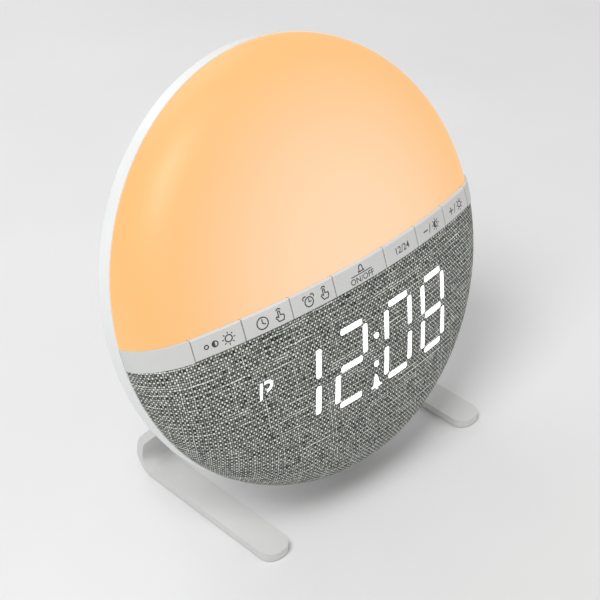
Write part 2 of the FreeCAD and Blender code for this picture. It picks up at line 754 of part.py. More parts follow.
speaker_back = back_inside - 0.4
basket = rod("basket_ring", S.speaker_x, speaker_back - 3.5, speaker_back, S.speaker_z, S.speaker_radius)
basket_well = rod("basket_well", S.speaker_x, speaker_back - 5, speaker_back + 1, S.speaker_z, S.speaker_radius - 2.5)
finish(cut("speaker_basket", basket, basket_well), "speaker_basket")
cone = doc.addObject("Part::Cone", "speaker_cone_form")
bind(cone, "Radius1", 6.0)
bind(cone, "Radius2", S.speaker_radius - 2.7)
bind(cone, "Height", 3.0)
cone.Placement.Rotation = FreeCAD.Rotation(V(-1, 0, 0), 90)
bind(cone, "Placement.Base.x", S.speaker_x)
bind(cone, "Placement.Base.y", speaker_back - 3.4)
bind(cone, "Placement.Base.z", S.speaker_z)
finish(cone, "speaker_cone")
magnet = rod("speaker_magnet_form", S.speaker_x, speaker_back - 8.5, speaker_back - 3.5, S.speaker_z, 11)
finish(magnet, "speaker_magnet")


# Ribbon cable from the key board down to the main board

ribbon_top = box("ribbon_top", 44, 56, S.key_board_y + S.board_thick, S.main_board_y - 1, -6.4, -5.9)
ribbon_drop = box("ribbon_drop", 44, 56, S.main_board_y - 1.5, S.main_board_y - 1, -12, -5.9)
ribbon_foot = box("ribbon_foot", 44, 56, S.main_board_y - 1.5, S.main_board_y, -12.4, -11.9)
finish(fuse("ribbon_cable", [ribbon_top, ribbon_drop, ribbon_foot]), "ribbon_cable")


# Legs: a flat strap bent up behind the body and fixed to the back by a flange

strap = S.leg_thick
floor = S.pad_proud


def strap_outline(points, radii, thick):
    """Closed outline of a bent strap: its outer side follows the points, each bend with the
    outer radius given, and its inner side lies `thick` inside, to the left of the way."""
    outer, inner = [], []
    count = len(points)
    for n in range(count):
        x, z = points[n]
        if n in (0, count - 1):
            a, b = (points[0], points[1]) if n == 0 else (points[-2], points[-1])
            length = math.hypot(b[0] - a[0], b[1] - a[1])
            nx, nz = -(b[1] - a[1]) / length, (b[0] - a[0]) / length
            outer.append((x, z))
            inner.append((x + nx * thick, z + nz * thick))
            continue
        before, after = points[n - 1], points[n + 1]
        la = math.hypot(x - before[0], z - before[1])
        lb = math.hypot(after[0] - x, after[1] - z)
        ux, uz = (x - before[0]) / la, (z - before[1]) / la
        vx, vz = (after[0] - x) / lb, (after[1] - z) / lb
        turn = math.atan2(ux * vz - uz * vx, ux * vx + uz * vz)
        side = 1 if turn > 0 else -1
        outer_radius = radii[n - 1]
        inner_radius_here = outer_radius - thick * side
        back_off = outer_radius * math.tan(abs(turn) / 2)
        start = (x - ux * back_off, z - uz * back_off)
        end = (x + vx * back_off, z + vz * back_off)
        outer.append(start)
        outer.append((end[0], end[1], outer_radius, side))
        inner.append((start[0] - uz * thick, start[1] + ux * thick))
        inner.append((end[0] - vz * thick, end[1] + vx * thick, inner_radius_here, side))
    loop = list(outer)
    backwards = [(p[0], p[1]) for p in inner][::-1]
    arcs = [p for p in inner if len(p) == 4]
    arc_ends = {(p[0], p[1]): p for p in arcs}
    previous_arc = None
    for point in backwards:
        if previous_arc is not None:
            loop.append((point[0], point[1], previous_arc[2], -previous_arc[3]))
            previous_arc = None
        else:
            loop.append(point)
        if point in arc_ends:
            previous_arc = arc_ends[point]
    return loop


lean_angle = math.radians(S.lean.value)
flange_low = -42.0
flange_high = -18.0


def on_back(z, out=0.0):
    """A point of the back, in the floor's frame, `out` behind the housing's flat back."""
    y = S.back_depth.value + out
    return (y * math.cos(lean_angle) + z * math.sin(lean_angle),
            S.centre_height.value - y * math.sin(lean_angle) + z * math.cos(lean_angle))


FLANGE_GAP = 0.0
thick = strap.value
flange_top = on_back(flange_high, thick + FLANGE_GAP)
flange_foot = on_back(flange_low, thick + FLANGE_GAP)
spine = [
    (S.foot_front.value, floor.value),
    (S.leg_rear.value + 2.6, floor.value),
    (S.leg_rear.value - 0.6, 17.0),
    flange_foot,
    flange_top,
]
leg_loop = strap_outline(spine, [8.5, 14.0, 6.0], thick)


def leg(name, side):
    body = new_body(name)
    profile = sketch_on(body, name + "_profile", "YZ_Plane", side * S.leg_x)
    outline(profile, leg_loop)
    strap_pad = body.newObject("PartDesign::Pad", name + "_strap")
    strap_pad.Profile = profile
    bind(strap_pad, "Length", S.leg_wide)
    strap_pad.Midplane = True
    body.Tip = strap_pad
    doc.recompute()
    front = []
    for index, edge in enumerate(strap_pad.Shape.Edges, start=1):
        point = edge.CenterOfMass
        upright = abs(edge.BoundBox.ZLength - thick) < 0.01 and edge.BoundBox.XLength < 0.01
        if upright and abs(point.y - S.foot_front.value) < 0.01:
            front.append(f"Edge{index}")
    rounding = body.newObject("PartDesign::Fillet", name + "_toe")
    rounding.Base = (strap_pad, front)
    bind(rounding, "Radius", S.foot_corner)
    body.Tip = rounding
    doc.recompute()
    return body


legs = [leg("leg_left", -1), leg("leg_right", 1)]

# Screw holes through the flanges, square to the back
leaned = FreeCAD.Rotation(V(-1, 0, 0), S.lean.value)
for body, side in zip(legs, (-1, 1)):
    name = body.Label
    tools = []
    for number, z in enumerate(leg_screw_z):
        for kind, radius, y0, y1 in (("bore", 1.7, 20, 27), ("head", 3.1, S.back_depth.value + thick - 1.6, 27)):
            hole = doc.addObject("Part::Cylinder", f"{name}_{kind}_{number}")
            bind(hole, "Radius", radius)
            bind(hole, "Height", y1 - y0)
            start = leaned.multVec(V(side * S.leg_x.value, y0, z)) + V(0, 0, S.centre_height.value)
            turn = leaned.multiply(FreeCAD.Rotation(V(-1, 0, 0), 90))
            hole.Placement = FreeCAD.Placement(start, turn)
            tools.append(hole)
    for number, y in enumerate((-36.0, 16.0)):
        seat_cut = doc.addObject("Part::Cylinder", f"{name}_pad_seat_{number}")
        bind(seat_cut, "Radius", 4.1)
        bind(seat_cut, "Height", 2.0)
        bind(seat_cut, "Placement.Base.x", side * S.leg_x)
        bind(seat_cut, "Placement.Base.y", y)
        bind(seat_cut, "Placement.Base.z", floor + 0.8 - 2.0)
        tools.append(seat_cut)
    drilled = cut(f"{name}_drilled", body, *tools)
    body.Label = f"{name}_strap_body"
    finish(drilled, name, leaned=False)

pads = []
for side in (-1, 1):
    for y in (-36.0, 16.0):
        pad_disc = doc.addObject("Part::Cylinder", f"pad_{side}_{y}".replace("-", "n").replace(".", "_"))
        bind(pad_disc, "Radius", 4.0)
        bind(pad_disc, "Height", floor + 0.8)
        bind(pad_disc, "Placement.Base.x", side * S.leg_x)
        bind(pad_disc, "Placement.Base.y", y)
        pads.append(pad_disc)
finish(group("foot_pads_group", pads), "foot_pads", leaned=False)


# Screws: each a shank with a pan head and a cross recess

def screw(name, x, z, head_y, length, radius, head_radius=2.6, head_tall=1.4):
    """A screw along y whose head seats at head_y and points to the back."""
    shank = rod(name + "_shank", x, dim(head_y) - length, head_y, z, radius)
    head = rod(name + "_head", x, head_y, dim(head_y) + head_tall, z, head_radius)
    slot_a = box(name + "_slot_a", dim(x) - 1.3, dim(x) + 1.3, dim(head_y) + head_tall - 0.7,
                 dim(head_y) + head_tall + 1, dim(z) - 0.3, dim(z) + 0.3)
    slot_b = box(name + "_slot_b", dim(x) - 0.3, dim(x) + 0.3, dim(head_y) + head_tall - 0.7,
                 dim(head_y) + head_tall + 1, dim(z) - 1.3, dim(z) + 1.3)
    return cut(name, fuse(name + "_solid", [shank, head]), slot_a, slot_b)


leg_screws = [screw(f"leg_screw_{side}_{n}".replace("-", "n"), side * S.leg_x, z,
                    S.back_depth + thick - 1.6, 8.0, S.screw_radius - 0.05)
              for side in (-1, 1) for n, z in enumerate(leg_screw_z)]
finish(group("leg_screws_group", leg_screws), "leg_screws")
housing_screws = [screw(f"housing_screw_{n}", S.post_ring * math.cos(math.radians(a)),
                        S.post_ring * math.sin(math.radians(a)), 10.0, 9.0, S.screw_radius, 2.4)
                  for n, a in enumerate(post_angles)]
finish(group("housing_screws_group", housing_screws), "housing_screws")
board_screws = []
for n, (x, z) in enumerate(board_points + lamp_points):
    shank = rod(f"board_screw_{n}_shank", x, board_front, board_front + 7, z, 0.95)
    head = rod(f"board_screw_{n}_head", x, board_front - 1.0, board_front, z, 1.9)
    board_screws.append(fuse(f"board_screw_{n}", [shank, head]))
finish(group("board_screws_group", board_screws), "board_screws")
door_screw = screw("door_screw_form", S.cell_x, S.cell_z + S.door_tall / 2 - 3, S.back_depth, 7.0, 1.2, 2.2, 1.0)
finish(door_screw, "battery_door_screw")


# Build, check and write

doc.recompute()
for item in doc.Objects:
    if "Invalid" in item.State or "Error" in item.State:
        raise RuntimeError(f"{item.Name} failed: {item.State}")
for item in nodes:
    if item.Shape.isNull() or not item.Shape.isValid() or not item.Shape.Solids:
        raise RuntimeError(f"{item.Label} has no valid solid")
whole = FreeCAD.BoundBox()
for item in nodes:
    item.Shape.exportStep(f"parts/{item.Label}.step")
    whole.add(item.Shape.BoundBox)
    print(f"{item.Label}: {len(item.Shape.Solids)} solids, {item.Shape.Volume:.1f} mm3")
print(f"{len(nodes)} nodes, box x {whole.XMin:.2f} {whole.XMax:.2f} y {whole.YMin:.2f} {whole.YMax:.2f} "
      f"z {whole.ZMin:.2f} {whole.ZMax:.2f}")
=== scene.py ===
"""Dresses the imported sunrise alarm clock: diffuser, woven front, lit digits, key markings and finishes."""

from __future__ import annotations

import logging
import math
from dataclasses import dataclass, field
from enum import Enum
from typing import Callable, Iterable, Sequence

import bmesh
import bpy
from mathutils import Matrix, Vector

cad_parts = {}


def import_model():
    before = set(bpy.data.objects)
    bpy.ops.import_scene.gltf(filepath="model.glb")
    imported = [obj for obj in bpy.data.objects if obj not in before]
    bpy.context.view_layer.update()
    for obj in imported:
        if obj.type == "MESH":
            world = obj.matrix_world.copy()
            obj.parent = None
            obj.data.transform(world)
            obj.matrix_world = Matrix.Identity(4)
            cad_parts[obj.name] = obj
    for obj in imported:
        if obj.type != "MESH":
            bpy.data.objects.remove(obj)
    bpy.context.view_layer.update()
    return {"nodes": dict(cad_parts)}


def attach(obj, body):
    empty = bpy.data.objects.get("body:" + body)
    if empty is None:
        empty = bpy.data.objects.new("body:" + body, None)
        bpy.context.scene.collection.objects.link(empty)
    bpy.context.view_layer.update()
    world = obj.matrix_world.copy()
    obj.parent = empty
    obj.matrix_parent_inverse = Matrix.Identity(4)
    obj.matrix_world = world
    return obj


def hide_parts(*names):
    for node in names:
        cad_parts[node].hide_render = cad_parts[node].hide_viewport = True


LOG = logging.getLogger("sunrise_clock")
MM = 0.001
CLOCK = "clock"
Point2 = tuple[float, float]
Colour = tuple[float, float, float]


def srgb(red: float, green: float, blue: float) -> Colour:
    """Turns a screen colour into the linear colour that a shader takes.

    Args:
        red: Red from 0 to 255.
        green: Green from 0 to 255.
        blue: Blue from 0 to 255.

    Returns:
        The same colour in linear light.
    """
    shares = (red / 255, green / 255, blue / 255)
    return tuple(s / 12.92 if s <= 0.04045 else ((s + 0.055) / 1.055) ** 2.4 for s in shares)


# Shader arithmetic


class Wire:
    """A node's output that takes part in arithmetic."""

    def __init__(self, board: Board, socket: bpy.types.NodeSocket) -> None:
        """Keeps the output and the board that it is on."""
        self.board = board
        self.socket = socket

    def maths(self, operation: str, *others: Wire | float) -> Wire:
        """Feeds this output and others to a Math node.

        Args:
            operation: The Math node's operation.
            others: What the node's other inputs get.

        Returns:
            The Math node's output.
        """
        return self.board.add("ShaderNodeMath", {"operation": operation}, dict(enumerate([self, *others])))

    def __add__(self, other: Wire | float) -> Wire:
        """Adds."""
        return self.maths("ADD", other)

    def __sub__(self, other: Wire | float) -> Wire:
        """Subtracts."""
        return self.maths("SUBTRACT", other)

    def __rsub__(self, other: float) -> Wire:
        """Subtracts this output from a number."""
        return (self * -1.0) + other

    def __mul__(self, other: Wire | float) -> Wire:
        """Multiplies."""
        return self.maths("MULTIPLY", other)

    def __pow__(self, power: float) -> Wire:
        """Raises to a power."""
        return self.maths("POWER", power)

    __radd__ = __add__
    __rmul__ = __mul__

    def floor(self) -> Wire:
        """Rounds down."""
        return self.maths("FLOOR")

    def within(self) -> Wire:
        """Gives the place within one step, from -1 to 1."""
        return (self.maths("FRACT") - 0.5) * 2.0

    def odd(self) -> Wire:
        """Gives 1 on every other step and 0 between."""
        return self.maths("FLOORED_MODULO", 2.0)

    def kept(self, low: float, high: float) -> Wire:
        """Stretches the span from low to high over 0 to 1 and clips the rest.

        Args:
            low: What becomes 0.
            high: What becomes 1.

        Returns:
            The stretched value.
        """
        sockets = {"Value": self, "From Min": low, "From Max": high}
        return self.board.add("ShaderNodeMapRange", {"clamp": True}, sockets)


class Board:
    """The node tree of a material or of the world."""

    def __init__(self, owner: bpy.types.Material | bpy.types.World) -> None:
        """Opens the owner's node tree."""
        owner.use_nodes = True
        self.tree = owner.node_tree

    def add(self, kind: str, settings: dict | None = None, sockets: dict | None = None,
            output: int | str = 0) -> Wire:
        """Makes a node.

        Args:
            kind: The node's type.
            settings: Its settings, and under "stops" a ramp's places and colours.
            sockets: The value or the link of each input, by name or number.
            output: The output to hand back.

        Returns:
            That output.
        """
        node = self.tree.nodes.new(kind)
        for name, value in (settings or {}).items():
            if name == "stops":
                self._set_stops(node.color_ramp, value)
            else:
                setattr(node, name, value)
        for name, value in (sockets or {}).items():
            self.feed(node.inputs[name], value)
        return Wire(self, node.outputs[output])

    @staticmethod
    def _set_stops(ramp: bpy.types.ColorRamp, stops: Sequence[tuple[float, Colour]]) -> None:
        """Gives a ramp its stops.

        Args:
            ramp: The ramp.
            stops: Its places, from 0 to 1, and their colours.
        """
        while len(ramp.elements) < len(stops):
            ramp.elements.new(1.0)
        for element, (place, colour) in zip(ramp.elements, stops):
            element.position = place
            element.color = (*colour, 1.0)

    def feed(self, socket: bpy.types.NodeSocket, value: Wire | float | Sequence[float]) -> None:
        """Links an input to a wire, or sets it.

        Args:
            socket: The input.
            value: The wire, or a value. A colour may leave out its alpha.
        """
        if isinstance(value, Wire):
            self.tree.links.new(value.socket, socket)
        elif isinstance(value, (int, float)) or len(value) == len(socket.default_value):
            socket.default_value = value
        else:
            socket.default_value = (*value, 1.0)

    def blend(self, factor: Wire | float, low: Wire | Colour, high: Wire | Colour) -> Wire:
        """Mixes two colours.

        Args:
            factor: 0 gives the low colour and 1 the high one.
            low: One colour.
            high: The other.

        Returns:
            The mixed colour.
        """
        sockets = {0: factor, 6: low, 7: high}
        return self.add("ShaderNodeMix", {"data_type": "RGBA"}, sockets, output=2)

    def place(self) -> Wire:
        """Gives the place on the piece, in metres."""
        return self.add("ShaderNodeTexCoord", output="Object")

    def noise(self, vector: Wire, scale: float, detail: float = 2.0) -> Wire:
        """Gives cloudy noise.

        Args:
            vector: Where it is read.
            scale: Blotches in one unit of the vector.
            detail: Finer layers.

        Returns:
            A value near 0.5.
        """
        return self.add("ShaderNodeTexNoise", {}, {"Vector": vector, "Scale": scale, "Detail": detail})


class Finish(Board):
    """The node tree of one material, with its shader."""

    def __init__(self, name: str) -> None:
        """Starts a material that has only its shader and output."""
        self.material = bpy.data.materials.new(name)
        super().__init__(self.material)
        self.shader = self.tree.nodes["Principled BSDF"]

    def set(self, **inputs: Wire | float | Sequence[float]) -> None:
        """Sets the shader's inputs, named with underscores for spaces."""
        for name, value in inputs.items():
            self.feed(self.shader.inputs[name.replace("_", " ")], value)

    def bump(self, height: Wire, depth: float, strength: float = 1.0) -> None:
        """Raises the surface by a height.

        Args:
            height: The height, from 0 to 1.
            depth: How much 1 is, in metres.
            strength: How much of it shows.
        """
        sockets = {"Height": height, "Distance": depth, "Strength": strength}
        self.set(Normal=self.add("ShaderNodeBump", {}, sockets))


# Finishes


@dataclass(frozen=True)
class Moulded:
    """Moulded or coated plastic with a fine grain and faint uneven gloss."""

    name: str
    colour: Colour
    roughness: float = 0.42
    grain: float = 0.55
    grain_depth: float = 0.012
    cloud: float = 0.035
    coat: float = 0.0
    metallic: float = 0.0

    def make(self) -> bpy.types.Material:
        """Builds the material."""
        board = Finish(self.name)
        place = board.place()
        cloudy = board.noise(place, 1 / (28 * MM), 3.0)
        grain = board.noise(place, 1 / (self.grain * MM), 3.0)
        darker = tuple(c * (1 - 2 * self.cloud) for c in self.colour)
        board.set(
            Base_Color=board.blend(cloudy.kept(0.3, 0.7), darker, self.colour),
            Roughness=cloudy * 0.10 + grain * 0.06 + (self.roughness - 0.08),
            Metallic=self.metallic,
            Coat_Weight=self.coat,
            Coat_Roughness=0.25,
        )
        board.bump(grain, self.grain_depth * MM)
        return board.material


@dataclass(frozen=True)
class Brushed:
    """Plated metal with fine drawn lines."""

    name: str
    colour: Colour
    roughness: float = 0.32

    def make(self) -> bpy.types.Material:
        """Builds the material."""
        board = Finish(self.name)
        sockets = {"Vector": board.place(), "Scale": (1.0, 14.0, 14.0)}
        drawn = board.add("ShaderNodeMapping", {"vector_type": "POINT"}, sockets)
        lines = board.noise(drawn, 1 / (1.6 * MM), 4.0)
        dull = tuple(c * 0.8 for c in self.colour)
        board.set(
            Base_Color=board.blend(lines.kept(0.3, 0.7), dull, self.colour),
            Roughness=lines * 0.2 + (self.roughness - 0.1),
            Metallic=1.0,
        )
        board.bump(lines, 0.006 * MM)
        return board.material


@dataclass(frozen=True)
class Lit:
    """A surface that gives off light of one colour."""

    name: str
    colour: Colour
    strength: float

    def make(self) -> bpy.types.Material:
        """Builds the material."""
        board = Finish(self.name)
        speckle = board.noise(board.place(), 1 / (0.5 * MM), 1.0)
        edge = tuple(c * 0.96 for c in self.colour)
        shade = board.blend(speckle.kept(0.3, 0.7), edge, self.colour)
        board.set(Base_Color=shade, Emission_Color=shade, Roughness=0.6, Emission_Strength=self.strength)
        return board.material


@dataclass(frozen=True)
class Printed:
    """Pad-printed ink, a little uneven where the pad lifts off."""

    name: str
    colour: Colour

    def make(self) -> bpy.types.Material:
        """Builds the material."""
        board = Finish(self.name)
        worn = board.noise(board.place(), 1 / (0.35 * MM), 2.0).kept(0.25, 0.75)
        thin = tuple(c * 1.7 + 0.01 for c in self.colour)
        board.set(Base_Color=board.blend(worn, thin, self.colour), Roughness=worn * 0.1 + 0.45)
        return board.material


@dataclass(frozen=True)
class Glow:
    """The milky diffuser, lit from behind: palest over the middle of the body."""

    name: str = "milky_diffuser"
    middle: Point2 = (0.0, 4.0)
    reach: float = 90.0
    glow: float = 0.84
    milk: float = 0.16

    # How far out each colour lies, in millimetres, and the colour on screen
    RINGS = ((0.0, (254, 217, 177)), (30.0, (254, 214, 171)), (46.0, (254, 209, 161)),
             (58.0, (254, 203, 149)), (70.0, (253, 198, 136)), (84.0, (252, 194, 123)))

    def make(self, lean: Lean) -> bpy.types.Material:
        """Builds the material.

        Args:
            lean: The body's own frame, in which the light fades round its middle.
        """
        board = Finish(self.name)
        settings = {"vector_type": "TEXTURE"}
        sockets = {"Vector": board.place(), "Location": lean.origin(), "Rotation": (-lean.angle, 0.0, 0.0)}
        own = board.add("ShaderNodeMapping", settings, sockets)
        flat = {"operation": "MULTIPLY"}
        face = board.add("ShaderNodeVectorMath", flat, {0: own, 1: (1.0, 0.0, 1.0)})
        centre = (self.middle[0] * MM, 0.0, self.middle[1] * MM)
        apart = {"operation": "DISTANCE"}
        away = board.add("ShaderNodeVectorMath", apart, {0: face, 1: centre}, output="Value")
        stops = [(ring / self.reach, srgb(*colour)) for ring, colour in self.RINGS]
        share = away * (1 / (self.reach * MM))
        colour = board.add("ShaderNodeValToRGB", {"stops": stops}, {0: share})
        haze = board.noise(board.place(), 1 / (0.9 * MM), 2.0)
        board.set(
            Base_Color=board.blend(self.milk, (0.0, 0.0, 0.0), colour),
            Roughness=haze * 0.08 + 0.46,
            Emission_Color=colour,
            Emission_Strength=self.glow,
            Coat_Weight=0.08,
            Coat_Roughness=0.35,
        )
        board.bump(haze, 0.004 * MM)
        return board.material


@dataclass(frozen=True)
class Yarn:
    """How much each cause of its tone counts in a set of threads."""

    streak: float
    second: float
    fleck: float
    least: float

    def tone(self, streak: Wire, second: Wire, fleck: Wire) -> Wire:
        """Adds up the tone of the threads.

        Args:
            streak: Slow change along a thread.
            second: 1 on every second thread.
            fleck: Change from one crossing to the next.

        Returns:
            The tone.
        """
        return streak * self.streak + second * self.second + fleck * self.fleck + self.least


@dataclass(frozen=True)
class Weave:
    """Plain weave of pale warp over dark weft, read from the cloth's own map, with painted shade in the gaps
    between threads.
    """

    name: str = "grey_weave"
    warp_pitch: float = 0.885
    weft_pitch: float = 1.05
    map_unit: float = 100.0
    warp_yarn: Yarn = Yarn(streak=0.32, second=0.27, fleck=0.47, least=0.11)
    weft_yarn: Yarn = Yarn(streak=0.20, second=-0.12, fleck=0.24, least=0.10)
    darkest: float = 0.10
    palest: float = 0.74
    slub_shine: float = 0.42
    relief: float = 0.22
    dark: Colour = srgb(24, 28, 24)
    pale: Colour = srgb(247, 250, 241)

    def make(self, map_name: str) -> bpy.types.Material:
        """Builds the material.

        Args:
            map_name: The map whose unit is map_unit millimetres of cloth.
        """
        board = Finish(self.name)
        raw = board.add("ShaderNodeUVMap", {"uv_map": map_name})
        counts = (self.map_unit / self.warp_pitch, self.map_unit / self.weft_pitch, 1.0)
        steps = board.add("ShaderNodeVectorMath", {"operation": "MULTIPLY"}, {0: raw, 1: counts})
        wander = board.noise(steps, 0.17, 2.0) - 0.5
        x = self._part(board, steps, "X") + wander * 1.1
        y = self._part(board, steps, "Y") - wander * 1.1
        column, row = x.floor(), y.floor()
        across, along = x.within(), y.within()
        warp_on_top = (column + row).odd()
        # The thread shapes give the relief. They also darken the colour towards each thread's edges and ends,
        # which is painted shade in the gaps between threads.
        warp = (1.0 - across ** 2.0 * 0.9) * (1.0 - along ** 4.0)
        weft = (1.0 - along ** 2.0 * 0.9) * (1.0 - across ** 4.0)
        fibre = self._tone(board, x * 1.9, y * 1.9)
        fleck = self._tone(board, column * 3.7, row * 4.3)
        warp_tone = self.warp_yarn.tone(self._tone(board, column * 5.17, y * 0.4), column.odd(), fleck)
        weft_tone = self.weft_yarn.tone(self._tone(board, x * 0.4, row * 7.31), row.odd(), fleck)
        # The yarn tone times the thread shape: the colour carries the painted shade between threads.
        cloth = warp_on_top * warp * warp_tone + (1.0 - warp_on_top) * weft * weft_tone
        slub = self._slub(board, row, along, x) + self._slub(board, column + 91.0, across, y) * 0.6
        lit = (cloth * (fibre * 0.3 + 0.85) + slub * self.slub_shine).kept(self.darkest, self.palest)
        board.set(
            Base_Color=board.blend(lit, self.dark, self.pale),
            Roughness=fibre * 0.15 + 0.78,
            Sheen_Weight=0.08,
            Sheen_Roughness=0.5,
        )
        height = warp_on_top * warp + (1.0 - warp_on_top) * weft * 0.7
        board.bump(height + fibre * 0.2, self.relief * MM, 0.7)
        return board.material

    @staticmethod
    def _part(board: Board, vector: Wire, axis: str) -> Wire:
        """Takes one part of a vector."""
        return board.add("ShaderNodeSeparateXYZ", {}, {0: vector}, output=axis)

    @staticmethod
    def _tone(board: Board, x: Wire, y: Wire) -> Wire:
        """Gives the tone of mixed fibres, from 0 to 1.

        Args:
            board: The node tree.
            x: The place in one direction.
            y: The place in the other.

        Returns:
            The tone at the place.
        """
        spot = board.add("ShaderNodeCombineXYZ", {}, {"X": x, "Y": y, "Z": 0.37})
        return board.noise(spot, 1.0, 1.0).kept(0.28, 0.72)

    def _slub(self, board: Board, thread: Wire, aside: Wire, run: Wire) -> Wire:
        """Gives the fine bright thread that runs along a few of the rows.

        Args:
            board: The node tree.
            thread: The number of the row.
            aside: The place across it, from -1 to 1.
            run: The place along it.

        Returns:
            Its brightness, from 0 to 1.
        """
        chosen = self._tone(board, thread * 2.93, run * 0.03).kept(0.78, 0.92)
        fine = 1.0 - aside ** 2.0 * 4.0
        return chosen * fine.kept(0.0, 0.8) * (self._tone(board, thread * 1.7, run * 0.5) * 0.5 + 0.5)


# The body's own frame and its domes


@dataclass(frozen=True)
class Lean:
    """The frame of the leaned body: origin at the rim's front centre, -y out of the face."""

    angle: float = math.radians(19.15)
    height: float = 90.0
    depth: float = 0.9

    def origin(self) -> tuple[float, float, float]:
        """Gives the frame's origin in metres."""
        return (0.0, self.depth * MM, self.height * MM)

    def matrix(self) -> Matrix:
        """Takes millimetres of the body's frame to metres of the row frame."""
        turn = Matrix.Rotation(-self.angle, 4, "X")
        return Matrix.Translation(self.origin()) @ turn @ Matrix.Scale(MM, 4)


@dataclass(frozen=True)
class Dome:
    """A domed face: a crown arc and a shoulder arc that meets the rim square."""

    edge: float = 89.5
    rise: float = 34.0
    crown: float = 228.0

    @property
    def middle(self) -> float:
        """Depth of the crown's centre behind the rim."""
        return self.crown - self.rise

    @property
    def shoulder(self) -> float:
        """Radius of the shoulder arc."""
        spare = self.crown ** 2 - self.edge ** 2 - self.middle ** 2
        return spare / (2 * (self.crown - self.edge))

    @property
    def turn(self) -> float:
        """Radius at which the crown becomes the shoulder."""
        return (self.edge - self.shoulder) * self.crown / (self.crown - self.shoulder)

    def raised(self, by: float) -> Dome:
        """Gives the same face moved out along its normals."""
        return Dome(self.edge + by, self.rise + by, self.crown + by)

    def out(self, radius: float) -> float:
        """Gives how far the face stands out of the rim.

        Args:
            radius: How far from the middle.

        Returns:
            The height there.
        """
        if radius <= self.turn:
            return math.sqrt(self.crown ** 2 - radius ** 2) - self.middle
        inset = min(radius - (self.edge - self.shoulder), self.shoulder)
        return math.sqrt(self.shoulder ** 2 - inset ** 2)

    def arc_length(self, radius: float) -> float:
        """Gives the way along the face from its middle.

        Args:
            radius: How far from the middle it ends.

        Returns:
            The length of the way.
        """
        crown_way = self.crown * math.asin(min(radius, self.turn) / self.crown)
        if radius <= self.turn:
            return crown_way
        start = math.asin(self.turn / self.crown)
        inset = min(radius - (self.edge - self.shoulder), self.shoulder)
        return crown_way + self.shoulder * (math.asin(inset / self.shoulder) - start)

    def profile(self, crown_steps: int = 26, shoulder_steps: int = 22) -> list[Point2]:
        """Gives points from the middle out to the edge, as radius and depth.

        Args:
            crown_steps: Sides of the crown arc.
            shoulder_steps: Sides of the shoulder arc.

        Returns:
            The points.
        """
        start = math.asin(self.turn / self.crown)
        crown = [(self.crown * math.sin(start * n / crown_steps),
                  self.middle - self.crown * math.cos(start * n / crown_steps)) for n in range(crown_steps)]
        angles = [start + (math.pi / 2 - start) * n / shoulder_steps for n in range(shoulder_steps + 1)]
        return crown + [(self.edge - self.shoulder + self.shoulder * math.sin(a),
                         -self.shoulder * math.cos(a)) for a in angles]


FACE = Dome()
CLOTH = Dome(edge=89.6, rise=34.8, crown=228.8)
KEY_FACE = Dome(edge=89.8, rise=35.6, crown=229.6)


# Making pieces


def to_piece(mesh: bmesh.types.BMesh, name: str, lean: Lean, material: bpy.types.Material,
             body: str = CLOCK, sharp: float = 35.0) -> bpy.types.Object:
    """Turns a mesh drawn in the body's frame into a finished piece.

    Args:
        mesh: The drawn mesh, in millimetres. It is freed.
        name: The piece's name.
        lean: The body's frame.
        material: Its finish.
        body: The moving body that it rides on.
        sharp: Edges that turn by more degrees than this stay crisp.

    Returns:
        The piece.
    """
    mesh.transform(lean.matrix())
    for side in mesh.faces:
        side.smooth = True
    data = bpy.data.meshes.new(name)
    mesh.to_mesh(data)
    mesh.free()
    data.set_sharp_from_angle(angle=math.radians(sharp))
    data.materials.append(material)
    piece = bpy.data.objects.new(name, data)
    bpy.context.scene.collection.objects.link(piece)
    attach(piece, body)
    return piece


def turned(profile: Iterable[Point2], steps: int = 160) -> bmesh.types.BMesh:
    """Turns a closed profile about the body's axis.

    Args:
        profile: Points as radius and depth. The first and last ones lie on the axis.
        steps: Sides of the full turn.

    Returns:
        The turned solid, with its faces pointing out.
    """
    mesh = bmesh.new()
    points = [mesh.verts.new((radius, depth, 0.0)) for radius, depth in profile]
    edges = [mesh.edges.new(pair) for pair in zip(points, points[1:])]
    bmesh.ops.spin(mesh, geom=points + edges, cent=(0, 0, 0), axis=(0, 1, 0), dvec=(0, 0, 0),
                   angle=math.tau, steps=steps, use_merge=True, use_duplicate=False)
    bmesh.ops.remove_doubles(mesh, verts=mesh.verts, dist=0.001)
    bmesh.ops.recalc_face_normals(mesh, faces=mesh.faces)
    return mesh


def keep_half(mesh: bmesh.types.BMesh, level: float, upward: bool) -> None:
    """Cuts a solid at a height, keeps one side and closes the cut.

    Args:
        mesh: The solid.
        level: The height of the cut.
        upward: Whether the side above it stays, and not the one below.
    """
    everything = mesh.verts[:] + mesh.edges[:] + mesh.faces[:]
    cut = bmesh.ops.bisect_plane(mesh, geom=everything, dist=0.0001, plane_co=(0, 0, level),
                                 plane_no=(0, 0, 1), clear_inner=upward, clear_outer=not upward)
    rim = [g for g in cut["geom_cut"] if isinstance(g, bmesh.types.BMEdge)]
    bmesh.ops.triangle_fill(mesh, use_beauty=True, use_dissolve=False, edges=rim)
    bmesh.ops.recalc_face_normals(mesh, faces=mesh.faces)


def inset_profile(outer: Dome, wall: float, skirt: Sequence[Point2] = ()) -> list[Point2]:
    """Gives the closed profile of a domed shell, down from its face and back up inside.

    Args:
        outer: The outer face.
        wall: Its wall.
        skirt: Points from the outer edge to the inner one.

    Returns:
        The points, from the axis back to the axis.
    """
    inner = outer.raised(-wall)
    return outer.profile() + list(skirt) + inner.profile()[::-1]


def laid_on(dome: Dome, lift: float) -> Callable[[float, float], float]:
    """Gives the depth at which a flat point (x, z) lies on a domed face.

    Args:
        dome: The face.
        lift: How far above it.

    Returns:
        A function of x and z.
    """
    return lambda x, z: -(dome.out(math.hypot(x, z)) + lift)


